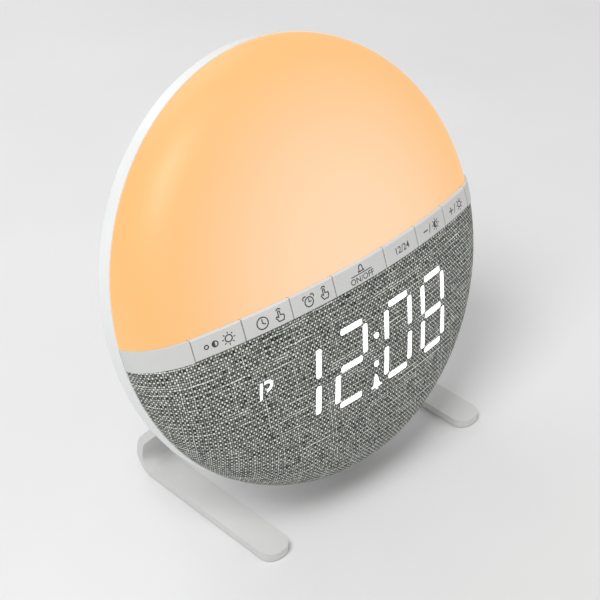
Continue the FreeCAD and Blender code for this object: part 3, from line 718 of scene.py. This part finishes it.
def flat_shape(mesh: bmesh.types.BMesh, outline: Sequence[Point2]) -> None:
    """Adds one flat outline, seen from the front."""
    mesh.faces.new([mesh.verts.new((x, 0.0, z)) for x, z in outline])


def drape(mesh: bmesh.types.BMesh, dome: Dome, lift: float, thick: float, grid: float = 2.2) -> None:
    """Lays flat shapes on a domed face and gives them a thickness.

    Args:
        mesh: The flat shapes.
        dome: The face.
        lift: How far their tops stand out of it.
        thick: Their thickness.
        grid: The largest flat patch.
    """
    low_x, high_x = min(v.co.x for v in mesh.verts), max(v.co.x for v in mesh.verts)
    low_z, high_z = min(v.co.z for v in mesh.verts), max(v.co.z for v in mesh.verts)
    for low, high, normal in ((low_x, high_x, Vector((1, 0, 0))), (low_z, high_z, Vector((0, 0, 1)))):
        for step in range(1, math.ceil((high - low) / grid)):
            everything = mesh.verts[:] + mesh.edges[:] + mesh.faces[:]
            bmesh.ops.bisect_plane(mesh, geom=everything, dist=0.0001,
                                   plane_co=normal * (low + step * grid), plane_no=normal)
    depth = laid_on(dome, lift)
    for vert in mesh.verts:
        vert.co.y = depth(vert.co.x, vert.co.z)
    for side in mesh.faces:
        side.normal_update()
        if side.normal.y > 0:
            side.normal_flip()
    grown = bmesh.ops.extrude_face_region(mesh, geom=mesh.faces[:], use_keep_orig=True)
    for vert in (g for g in grown["geom"] if isinstance(g, bmesh.types.BMVert)):
        vert.co.y += thick
    bmesh.ops.remove_doubles(mesh, verts=mesh.verts, dist=0.0005)
    bmesh.ops.recalc_face_normals(mesh, faces=mesh.faces)


# The light diffuser


@dataclass
class Diffuser:
    """The upper half of the front, a milky shell over the lamp."""

    lean: Lean
    bottom: float = 3.9
    wall: float = 2.6
    seat: float = 87.7
    skirt_end: float = 4.0

    def build(self) -> bpy.types.Object:
        """Builds the shell in place of its plain solid."""
        skirt = [(self.seat, 0.0), (self.seat, self.skirt_end), (FACE.edge - self.wall, self.skirt_end)]
        shell = turned(inset_profile(FACE, self.wall, skirt), steps=192)
        keep_half(shell, self.bottom, upward=True)
        piece = to_piece(shell, "diffuser_shell", self.lean, Glow().make(self.lean))
        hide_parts("diffuser_dome")
        return piece


# The woven front


@dataclass
class WovenFront:
    """The cloth glued over the lower half of the front."""

    lean: Lean
    top: float = -5.0
    thick: float = 0.8
    map_name: str = "weave"
    stretch: float = 1.03
    weave: Weave = field(default_factory=Weave)

    def build(self) -> bpy.types.Object:
        """Builds the cloth in place of its plain solid."""
        cloth = turned(inset_profile(CLOTH, self.thick), steps=192)
        keep_half(cloth, self.top, upward=False)
        self._map(cloth)
        flat_area = sum(f.calc_area() for f in cloth.faces) / 2 / self.stretch ** 2 * MM ** 2
        piece = to_piece(cloth, "woven_cover", self.lean, self.weave.make(self.map_name))
        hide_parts("fabric_cover")
        reach = CLOTH.arc_length(CLOTH.edge) / self.stretch
        flat = (2 * reach * MM, (reach + self.top) * MM)
        return piece

    def _map(self, cloth: bmesh.types.BMesh) -> None:
        """Spreads the weave evenly along the dome, from its middle outwards.

        Args:
            cloth: The sheet, in millimetres.
        """
        layer = cloth.loops.layers.uv.new(self.map_name)
        for side in cloth.faces:
            for corner in side.loops:
                x, _, z = corner.vert.co
                radius = math.hypot(x, z)
                grow = CLOTH.arc_length(radius) / radius if radius > 0.01 else 1.0
                corner[layer].uv = (x * grow / self.weave.map_unit, z * grow / self.weave.map_unit)


# The lit display


class Bar(Enum):
    """The seven bars of a digit, by their usual letters."""

    TOP = "a"
    UPPER_RIGHT = "b"
    LOWER_RIGHT = "c"
    BOTTOM = "d"
    LOWER_LEFT = "e"
    UPPER_LEFT = "f"
    MIDDLE = "g"


SHOWN = {"0": "abcdef", "1": "bc", "2": "abged", "8": "abcdefg"}


@dataclass
class Display:
    """Digits and small signs that shine through the weave."""

    lean: Lean
    reading: str = "1208"
    columns: tuple[float, ...] = (-35.9, -12.33, 13.97, 36.96)
    row_top: float = -19.4
    row_mid: float = -34.25
    row_low: float = -49.05
    column: float = 7.1
    stroke: float = 2.45
    upright: float = 11.4
    level: float = 11.1
    corner: float = 0.55
    slope: float = 0.168
    lift: float = 0.12
    thick: float = 0.1

    def build(self) -> list[bpy.types.Object]:
        """Builds the digits, the colon and the two signs."""
        light = Lit("digit_light", (1.0, 1.0, 1.0), 1.0).make()
        shapes = {f"digit_{n + 1}": self._digit(x, figure)
                  for n, (x, figure) in enumerate(zip(self.columns, self.reading))}
        shapes["colon"] = [self._spot((1.95, -28.5), 1.3), self._spot((-0.05, -40.2), 1.3)]
        shapes["alarm_sign"] = self._bell((-1.1, -47.9))
        shapes["afternoon_sign"] = self._afternoon()
        pieces = []
        for name, outlines in shapes.items():
            mesh = bmesh.new()
            for outline in outlines:
                flat_shape(mesh, outline)
            drape(mesh, CLOTH, self.lift, self.thick)
            piece = to_piece(mesh, name, self.lean, light)
            pieces.append(piece)
        return pieces

    def _bar(self, x: float, z: float, wide: float, tall: float) -> list[Point2]:
        """Gives a bar with clipped corners, not yet sloped.

        Args:
            x: Its middle across the display.
            z: Its middle up the display.
            wide: Its width.
            tall: Its height.

        Returns:
            Its outline.
        """
        u, w, cut = wide / 2, tall / 2, self.corner
        quarter = [(u - cut, w), (u, w - cut)]
        corners = quarter + [(a, -b) for a, b in reversed(quarter)]
        corners += [(-a, b) for a, b in reversed(corners)]
        return [(x + a, z + b) for a, b in corners]

    def _digit(self, x: float, figure: str) -> list[list[Point2]]:
        """Gives the outlines of the bars that a figure lights.

        Args:
            x: The digit's middle.
            figure: What it shows.

        Returns:
            One outline for each lit bar.
        """
        upper = (self.row_top + self.row_mid) / 2
        lower = (self.row_mid + self.row_low) / 2
        level, upright = (self.level, self.stroke), (self.stroke, self.upright)
        bars = {
            Bar.TOP: (0.0, self.row_top, *level),
            Bar.MIDDLE: (0.0, self.row_mid, *level),
            Bar.BOTTOM: (0.0, self.row_low, *level),
            Bar.UPPER_RIGHT: (self.column, upper, *upright),
            Bar.LOWER_RIGHT: (self.column, lower, *upright),
            Bar.UPPER_LEFT: (-self.column, upper, *upright),
            Bar.LOWER_LEFT: (-self.column, lower, *upright),
        }
        return [[(x + a + self.slope * (z - self.row_mid), z) for a, z in self._bar(*bar)]
                for name, bar in bars.items() if name.value in SHOWN[figure]]

    @staticmethod
    def _spot(centre: Point2, radius: float, sides: int = 20) -> list[Point2]:
        """Gives a round dot.

        Args:
            centre: Its middle.
            radius: Its radius.
            sides: Its sides.

        Returns:
            Its outline.
        """
        turns = [math.tau * n / sides for n in range(sides)]
        return [(centre[0] + radius * math.cos(t), centre[1] + radius * math.sin(t)) for t in turns]

    @staticmethod
    def _bell(centre: Point2) -> list[list[Point2]]:
        """Gives a plain bell with its clapper.

        Args:
            centre: Its middle.

        Returns:
            Two outlines.
        """
        half = [(0.0, 3.3), (0.45, 3.2), (0.6, 2.3), (1.15, 1.5),
                (1.3, 0.2), (1.6, -0.9), (2.8, -1.9), (2.8, -2.3)]
        bell = half + [(-x, z) for x, z in reversed(half[1:])]
        clapper = [(0.8, -2.5), (0.5, -3.2), (-0.5, -3.2), (-0.8, -2.5)]
        return [[(centre[0] + x, centre[1] + z) for x, z in shape] for shape in (bell, clapper)]

    @staticmethod
    def _afternoon() -> list[list[Point2]]:
        """Gives the mark for the hours after noon, an upright and an open bow.

        Returns:
            The outlines of its strokes.
        """
        upright = [(-53.1, -23.3), (-52.0, -23.7), (-53.2, -29.8), (-54.3, -30.3)]
        outer = [(-51.3, -23.3), (-49.3, -23.2), (-48.1, -24.1),
                 (-48.0, -25.7), (-49.0, -27.2), (-50.9, -28.0)]
        inner = [(-50.9, -26.9), (-49.8, -26.4), (-49.1, -25.4),
                 (-49.2, -24.6), (-49.8, -24.3), (-51.3, -24.4)]
        bow = [[outer[n], outer[n + 1], inner[-n - 2], inner[-n - 1]] for n in range(len(outer) - 1)]
        return [upright, *bow]


# The markings of the keys


@dataclass
class Marker:
    """Flat strokes and discs from which the signs on the keys are drawn."""

    mesh: bmesh.types.BMesh = field(default_factory=bmesh.new)
    pen: float = 0.42

    def line(self, start: Point2, end: Point2, pen: float | None = None) -> None:
        """Draws a straight stroke.

        Args:
            start: One end.
            end: The other end.
            pen: Its width, or None for the marker's own.
        """
        width = (pen or self.pen) / 2
        a, b = Vector(start), Vector(end)
        way = (b - a).normalized()
        aside = Vector((-way.y, way.x)) * width
        tip = way * width * 0.6
        corners = (a - tip - aside, b + tip - aside, b + tip + aside, a - tip + aside)
        flat_shape(self.mesh, [tuple(corner) for corner in corners])

    def path(self, points: Sequence[Point2], closed: bool = False) -> None:
        """Draws strokes from point to point.

        Args:
            points: The points.
            closed: Whether it comes back to the first one.
        """
        ends = list(points[1:]) + ([points[0]] if closed else [])
        for start, end in zip(points, ends):
            self.line(start, end)

    def ring(self, centre: Point2, radius: float, first: float = 0.0, last: float = 360.0, sides: int = 20,
             filled: bool = False) -> None:
        """Draws an arc or a filled slice of a disc.

        Args:
            centre: Its centre.
            radius: Its outer radius.
            first: Where it starts, in degrees.
            last: Where it ends.
            sides: Sides of the arc.
            filled: Whether it is filled.
        """
        turns = [math.radians(first + (last - first) * n / sides) for n in range(sides + 1)]
        outer = [(centre[0] + radius * math.cos(t), centre[1] + radius * math.sin(t)) for t in turns]
        if filled:
            flat_shape(self.mesh, outer[:-1] if last - first >= 360 else outer)
            return
        inner = radius - self.pen
        inside = [(centre[0] + inner * math.cos(t), centre[1] + inner * math.sin(t)) for t in turns]
        for n in range(sides):
            flat_shape(self.mesh, [outer[n], outer[n + 1], inside[n + 1], inside[n]])

    def sun(self, centre: Point2, radius: float, half_dark: bool) -> None:
        """Draws a small sun.

        Args:
            centre: Its middle.
            radius: Radius of its disc.
            half_dark: Whether half of the disc is dark.
        """
        self.ring(centre, radius)
        if half_dark:
            self.ring(centre, radius - self.pen * 0.4, 90.0, 270.0, 12, filled=True)
        for turn in (math.radians(45 * n) for n in range(8)):
            way = Vector((math.cos(turn), math.sin(turn)))
            inner, outer = (Vector(centre) + way * (radius + gap) for gap in (0.45, 0.95))
            self.line(tuple(inner), tuple(outer), self.pen * 0.9)

    def words(self, text: str, centre: Point2, tall: float) -> None:
        """Sets plain figures or a switch's two words.

        Args:
            text: What is set.
            centre: The middle of the line.
            tall: Height of its capitals.
        """
        curve = bpy.data.curves.new("lettering", "FONT")
        curve.body = text
        curve.align_x = "CENTER"
        curve.size = tall / 0.70
        curve.resolution_u = 3
        curve.offset = 0.014
        holder = bpy.data.objects.new("lettering", curve)
        bpy.context.scene.collection.objects.link(holder)
        letters = bpy.data.meshes.new_from_object(holder)
        bpy.data.objects.remove(holder)
        lifted = Matrix(((1, 0, 0, centre[0]), (0, 0, 1, 0), (0, 1, 0, centre[1] - tall / 2), (0, 0, 0, 1)))
        letters.transform(lifted)
        self.mesh.from_mesh(letters)
        bpy.data.meshes.remove(letters)
        bmesh.ops.remove_doubles(self.mesh, verts=self.mesh.verts, dist=0.0005)

    def hand(self, centre: Point2, size: float) -> None:
        """Draws a pressing hand, a pointing finger over a fist.

        Args:
            centre: Its middle.
            size: Its scale.
        """
        shape = [(-0.55, -1.5), (-1.25, -0.35), (-1.0, 0.05), (-0.45, -0.35), (-0.45, 1.15), (-0.15, 1.45),
                 (0.15, 1.15), (0.15, 0.2), (1.15, 0.0), (1.2, -0.75), (0.85, -1.5)]
        self.path([(centre[0] + x * size, centre[1] + z * size) for x, z in shape], closed=True)
        self.ring((centre[0] - 0.15 * size, centre[1] + 1.35 * size), 0.85 * size, 20.0, 160.0, 8)


@dataclass
class KeyMarkings:
    """The printed signs of the seven keys, each riding on its own key."""

    lean: Lean
    edges: tuple[float, ...] = (13.7, 34.0, 54.4, 74.4)
    middle: float = -0.75
    lift: float = 0.045
    thick: float = 0.035

    def build(self) -> list[bpy.types.Object]:
        """Builds the sign of every key."""
        ink = Printed("key_ink", srgb(52, 53, 54)).make()
        a, b, c, d = self.edges
        signs = {
            "dimmer": (-(c + d) / 2, self._dimmer),
            "time": (-(b + c) / 2, self._time),
            "alarm": (-(a + b) / 2, self._alarm),
            "alarm_switch": (0.0, self._alarm_switch),
            "hour_format": ((a + b) / 2, self._hour_format),
            "minus": ((b + c) / 2, self._minus),
            "plus": ((c + d) / 2, self._plus),
        }
        pieces = []
        for key, (x, draw) in signs.items():
            marker = Marker()
            draw(marker, x, self.middle)
            drape(marker.mesh, KEY_FACE, self.lift, self.thick, grid=3.0)
            piece = to_piece(marker.mesh, f"sign_{key}", self.lean, ink, body=f"button_{key}")
            pieces.append(piece)
        return pieces

    @staticmethod
    def _dimmer(pen: Marker, x: float, z: float) -> None:
        """A row of three lamps that grow brighter."""
        pen.ring((x - 5.0, z), 0.95)
        pen.ring((x - 1.7, z), 1.3)
        pen.ring((x - 1.7, z), 1.15, 90.0, 270.0, 12, filled=True)
        pen.sun((x + 3.6, z), 1.55, half_dark=False)

    @staticmethod
    def _time(pen: Marker, x: float, z: float) -> None:
        """A clock face, and a hand that holds the key down."""
        pen.ring((x - 2.8, z), 2.5, sides=32)
        pen.path([(x - 2.8, z + 1.5), (x - 2.8, z), (x - 1.7, z - 0.7)])
        pen.hand((x + 4.6, z - 0.1), 1.4)

    @staticmethod
    def _alarm(pen: Marker, x: float, z: float) -> None:
        """A ringing clock, and a hand that holds the key down."""
        pen.ring((x - 2.6, z - 0.25), 2.1, sides=32)
        pen.path([(x - 2.6, z + 1.0), (x - 2.6, z - 0.25), (x - 1.6, z - 0.25)])
        pen.ring((x - 4.2, z + 1.45), 1.1, 50.0, 215.0, 8)
        pen.ring((x - 1.0, z + 1.45), 1.1, -35.0, 130.0, 8)
        pen.hand((x + 4.8, z - 0.1), 1.4)

    @staticmethod
    def _alarm_switch(pen: Marker, x: float, z: float) -> None:
        """A bell over a line, and under it the two states of the switch."""
        bell = [(-1.5, 0.55), (-0.95, 1.1), (-0.85, 2.3), (-0.35, 3.0), (0.35, 3.0), (0.85, 2.3), (0.95, 1.1),
                (1.5, 0.55)]
        pen.path([(x + u, z + 0.3 + w) for u, w in bell], closed=True)
        pen.line((x - 5.4, z + 0.05), (x + 5.4, z + 0.05), 0.34)
        pen.words("ON/OFF", (x, z - 1.85), 2.4)

    @staticmethod
    def _hour_format(pen: Marker, x: float, z: float) -> None:
        """The two ways of counting hours."""
        pen.words("12/24", (x, z), 2.8)

    @staticmethod
    def _minus(pen: Marker, x: float, z: float) -> None:
        """Less, with a half dark sun."""
        pen.line((x - 5.6, z), (x - 3.0, z), 0.5)
        pen.line((x - 1.9, z - 1.6), (x - 0.6, z + 1.6), 0.36)
        pen.sun((x + 3.0, z), 1.45, half_dark=True)

    @staticmethod
    def _plus(pen: Marker, x: float, z: float) -> None:
        """More, with an open sun."""
        pen.line((x - 5.6, z), (x - 3.0, z), 0.5)
        pen.line((x - 4.3, z - 1.3), (x - 4.3, z + 1.3), 0.5)
        pen.line((x - 1.9, z - 1.6), (x - 0.6, z + 1.6), 0.36)
        pen.sun((x + 3.0, z), 1.45, half_dark=False)


# Screws with a cross recess


@dataclass(frozen=True)
class ScrewHead:
    """A pan head with a cross recess, and its shank."""

    radius: float
    tall: float
    shank: float
    length: float
    sides: int = 32
    arm: float = 0.3

    def add_to(self, mesh: bmesh.types.BMesh, x: float, y: float, z: float) -> None:
        """Adds one screw whose head seats at y and faces the back.

        Args:
            mesh: Where it is added.
            x: Its place across the body.
            y: The depth at which its head seats.
            z: Its place up the body.
        """
        rings = [(self.shank * 0.2, -self.length), (self.shank, -self.length + 0.8), (self.shank, 0.0),
                 (self.radius, 0.0), (self.radius, self.tall * 0.45), (self.radius * 0.86, self.tall * 0.85),
                 (self.radius * 0.66, self.tall)]
        loops = []
        for radius, out in rings:
            made = bmesh.ops.create_circle(mesh, cap_ends=False, radius=radius, segments=self.sides)["verts"]
            bmesh.ops.rotate(mesh, verts=made, cent=(0, 0, 0), matrix=Matrix.Rotation(-math.pi / 2, 3, "X"))
            bmesh.ops.translate(mesh, verts=made, vec=(x, y + out, z))
            loops.append(self._edges(made))
        for first, second in zip(loops, loops[1:]):
            bmesh.ops.bridge_loops(mesh, edges=first + second)
        bmesh.ops.edgeloop_fill(mesh, edges=loops[0])
        mouth = self._cross(mesh, (x, y + self.tall, z), self.radius * 0.52, self.arm)
        floor = self._cross(mesh, (x, y + self.tall * 0.35, z), self.radius * 0.34, self.arm * 0.7)
        bmesh.ops.bridge_loops(mesh, edges=loops[-1] + mouth)
        bmesh.ops.bridge_loops(mesh, edges=mouth + floor)
        bmesh.ops.edgeloop_fill(mesh, edges=floor)

    @staticmethod
    def _edges(verts: Sequence[bmesh.types.BMVert]) -> list[bmesh.types.BMEdge]:
        """Gives the edges of a ring of vertices."""
        return list({edge for vert in verts for edge in vert.link_edges})

    @staticmethod
    def _cross(mesh: bmesh.types.BMesh, centre: tuple[float, float, float], reach: float,
               arm: float) -> list[bmesh.types.BMEdge]:
        """Draws a cross-shaped ring of edges.

        Args:
            mesh: Where it is drawn.
            centre: Its middle.
            reach: How far its arms reach.
            arm: Half the width of an arm.

        Returns:
            Its edges, in order.
        """
        corner = [(reach, -arm), (reach, arm), (arm, arm)]
        turned_corners = [(u * math.cos(q) - w * math.sin(q), u * math.sin(q) + w * math.cos(q))
                          for q in (n * math.pi / 2 for n in range(4)) for u, w in corner]
        verts = [mesh.verts.new((centre[0] + u, centre[1], centre[2] + w)) for u, w in turned_corners]
        return [mesh.edges.new((a, b)) for a, b in zip(verts, verts[1:] + verts[:1])]


@dataclass
class Screws:
    """The screws that show at the back: of the legs, of the housing and of the battery door."""

    lean: Lean
    leg_x: float = 56.9
    leg_seat: float = 23.9
    leg_rows: tuple[float, ...] = (-36.0, -24.0)
    post_ring: float = 74.0
    post_seat: float = 10.0
    post_angles: tuple[float, ...] = (20, 160, 205, 250, 290, 335)
    door_place: tuple[float, float, float] = (-22.0, 22.0, -30.0)

    def build(self) -> list[bpy.types.Object]:
        """Builds the three sets."""
        steel = Brushed("zinc_plate", (0.52, 0.52, 0.53)).make()
        turns = [math.radians(angle) for angle in self.post_angles]
        ring = [(self.post_ring * math.cos(turn), self.post_seat, self.post_ring * math.sin(turn))
                for turn in turns]
        legs = [(side * self.leg_x, self.leg_seat, z) for side in (-1, 1) for z in self.leg_rows]
        sets = {
            "leg_screw_set": ("leg_screws", ScrewHead(2.6, 1.4, 1.45, 8.0), legs),
            "housing_screw_set": ("housing_screws", ScrewHead(2.4, 1.4, 1.5, 9.0), ring),
            "door_screw": ("battery_door_screw", ScrewHead(2.2, 1.0, 1.2, 7.0), [self.door_place]),
        }
        pieces = []
        for name, (node, head, places) in sets.items():
            mesh = bmesh.new()
            for place in places:
                head.add_to(mesh, *place)
            bmesh.ops.recalc_face_normals(mesh, faces=mesh.faces)
            piece = to_piece(mesh, name, self.lean, steel, sharp=28.0)
            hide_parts(node)
            pieces.append(piece)
        return pieces


# The pieces that come from the frame


@dataclass
class Enclosure:
    """Finishes for every piece that keeps its own solid."""

    nodes: dict[str, bpy.types.Object]

    WHITE = Moulded("white_housing", srgb(238, 239, 239), roughness=0.40, grain=0.7, coat=0.15)
    KEY = Moulded("key_grey", srgb(216, 216, 215), roughness=0.46, grain=0.45)
    STRAP = Moulded("leg_coating", srgb(218, 218, 217), roughness=0.44, grain=0.6, coat=0.1)
    BLACK = Moulded("black_plastic", srgb(40, 40, 41), roughness=0.5, grain=0.8)
    INNER_WHITE = Moulded("inner_white", srgb(235, 235, 232), roughness=0.55, grain=0.8)
    MASK = Moulded("board_green", srgb(24, 84, 48), roughness=0.3, coat=0.3)
    LAMP_MASK = Moulded("board_white", srgb(232, 232, 228), roughness=0.35, coat=0.2)
    CHIP = Moulded("component_black", srgb(38, 38, 40), roughness=0.45)
    PAPER = Moulded("cone_paper", srgb(48, 47, 45), roughness=0.8, grain=0.5, grain_depth=0.05)
    FLAT_CABLE = Moulded("ribbon_grey", srgb(205, 206, 210), roughness=0.4)
    RUBBER = Moulded("pad_rubber", srgb(52, 52, 53), roughness=0.75, grain=0.5, grain_depth=0.03)
    EMITTER = Moulded("led_lens", srgb(250, 244, 205), roughness=0.25, coat=0.4)
    BRIGHT = Brushed("bright_steel", (0.62, 0.62, 0.63), 0.26)

    def dress(self) -> None:
        """Gives each kept node its finish."""
        sets: dict[Moulded | Brushed, list[str]] = {
            self.WHITE: ["rear_housing", "battery_door"],
            self.KEY: [n for n in self.nodes if n.startswith("key_") and n != "key_board"],
            self.STRAP: ["leg_left", "leg_right"],
            self.BLACK: ["front_panel", "cell_holder"] + [n for n in self.nodes if n.startswith("plunger_")],
            self.INNER_WHITE: ["display_light_box", "reflector_tray"],
            self.MASK: ["key_board", "display_board", "main_board"],
            self.LAMP_MASK: ["lamp_board"],
            self.CHIP: ["board_components", "speaker_basket", "speaker_magnet"],
            self.PAPER: ["speaker_cone"],
            self.FLAT_CABLE: ["ribbon_cable"],
            self.RUBBER: ["foot_pads"],
            self.EMITTER: ["display_leds", "lamp_leds"],
            self.BRIGHT: ["power_socket", "tact_switches", "coin_cell", "board_screws"],
        }
        for finish, names in sets.items():
            material = finish.make()
            for name in names:
                for slot in self.nodes[name].material_slots:
                    slot.material = material
                LOG.info("%s gets %s", name, finish.name)


# Floor, light and camera


@dataclass(frozen=True)
class Lamp:
    """A square soft lamp that faces the object."""

    name: str
    place: tuple[float, float, float]
    size: float
    power: float

    def hang(self) -> None:
        """Hangs the lamp at its place, in metres."""
        light = bpy.data.lights.new(self.name, "AREA")
        light.shape = "SQUARE"
        light.size = self.size
        light.energy = self.power
        lamp = bpy.data.objects.new(self.name, light)
        lamp.location = self.place
        lamp.rotation_euler = (Vector((0, 0, 0.08)) - Vector(self.place)).to_track_quat("-Z", "Y").to_euler()
        bpy.context.scene.collection.objects.link(lamp)


@dataclass
class Studio:
    """A plain pale floor, soft lamps and a camera at the photograph's angle."""

    eye: tuple[float, float, float] = (-341.191, -355.804, 424.880)
    heading: float = 43.723
    tilt: float = -35.628
    roll: float = -0.7526
    lens: float = 90.33
    floor_size: float = 6.0
    soft_light: float = 0.42
    seen_light: float = 0.80

    LAMPS = (
        Lamp("key_lamp", (-0.70, -0.15, 1.30), size=0.7, power=13.0),
        Lamp("fill_lamp", (0.9, -0.9, 0.7), size=1.2, power=3.6),
        Lamp("rear_lamp", (0.2, 1.1, 0.9), size=1.0, power=4.0),
    )

    def build(self) -> None:
        """Builds the floor, the lamps, the world and the camera."""
        self._floor()
        self._world()
        for lamp in self.LAMPS:
            lamp.hang()
        self._camera()

    def _floor(self) -> None:
        """Makes the floor, a wide sheet with a faint mottle."""
        mesh = bmesh.new()
        bmesh.ops.create_grid(mesh, x_segments=2, y_segments=2, size=self.floor_size / 2)
        data = bpy.data.meshes.new("floor")
        mesh.to_mesh(data)
        mesh.free()
        board = Finish("pale_floor")
        mottle = board.noise(board.place(), 9.0, 3.0).kept(0.3, 0.7)
        board.set(Base_Color=board.blend(mottle, srgb(226, 226, 226), srgb(230, 230, 230)), Roughness=0.7)
        data.materials.append(board.material)
        floor = bpy.data.objects.new("floor", data)
        bpy.context.scene.collection.objects.link(floor)

    def _world(self) -> None:
        """Lights everything softly from all round, and looks paler to the camera."""
        world = bpy.data.worlds.new("studio")
        bpy.context.scene.world = world
        board = Board(world)
        soft, seen = (board.add("ShaderNodeBackground", {}, {"Color": (1.0, 1.0, 1.0), "Strength": strength})
                      for strength in (self.soft_light, self.seen_light))
        ray = board.add("ShaderNodeLightPath", output="Is Camera Ray")
        either = board.add("ShaderNodeMixShader", {}, {0: ray, 1: soft, 2: seen})
        board.feed(board.tree.nodes["World Output"].inputs["Surface"], either)

    def _camera(self) -> None:
        """Sets the camera from its place, heading, tilt and roll."""
        heading, tilt, roll = (math.radians(a) for a in (self.heading, self.tilt, self.roll))
        ahead = math.cos(tilt)
        forward = Vector((math.sin(heading) * ahead, math.cos(heading) * ahead, math.sin(tilt)))
        level = Vector((math.cos(heading), -math.sin(heading), 0.0))
        upright = level.cross(forward)
        right = level * math.cos(roll) + upright * math.sin(roll)
        up = right.cross(forward)
        data = bpy.data.cameras.new("camera")
        data.lens = self.lens
        data.sensor_width = 36.0
        data.clip_start = 0.01
        camera = bpy.data.objects.new("camera", data)
        turn = Matrix((right, up, -forward)).transposed().to_4x4()
        camera.matrix_world = Matrix.Translation(Vector(self.eye) * MM) @ turn
        bpy.context.scene.collection.objects.link(camera)
        bpy.context.scene.camera = camera


def main() -> None:
    """Builds and dresses the clock, and reports each piece."""
    logging.basicConfig(level=logging.INFO, format="%(name)s: %(message)s")
    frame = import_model()
    lean = Lean()
    Enclosure(frame["nodes"]).dress()
    pieces = [Diffuser(lean).build(), WovenFront(lean).build()]
    pieces += Display(lean).build()
    pieces += KeyMarkings(lean).build()
    pieces += Screws(lean).build()
    for piece in pieces:
        LOG.info("%s has %d faces", piece.name, len(piece.data.polygons))
    Studio().build()
    bpy.context.scene.view_settings.view_transform = "Standard"


if __name__ == "__main__":
    main()
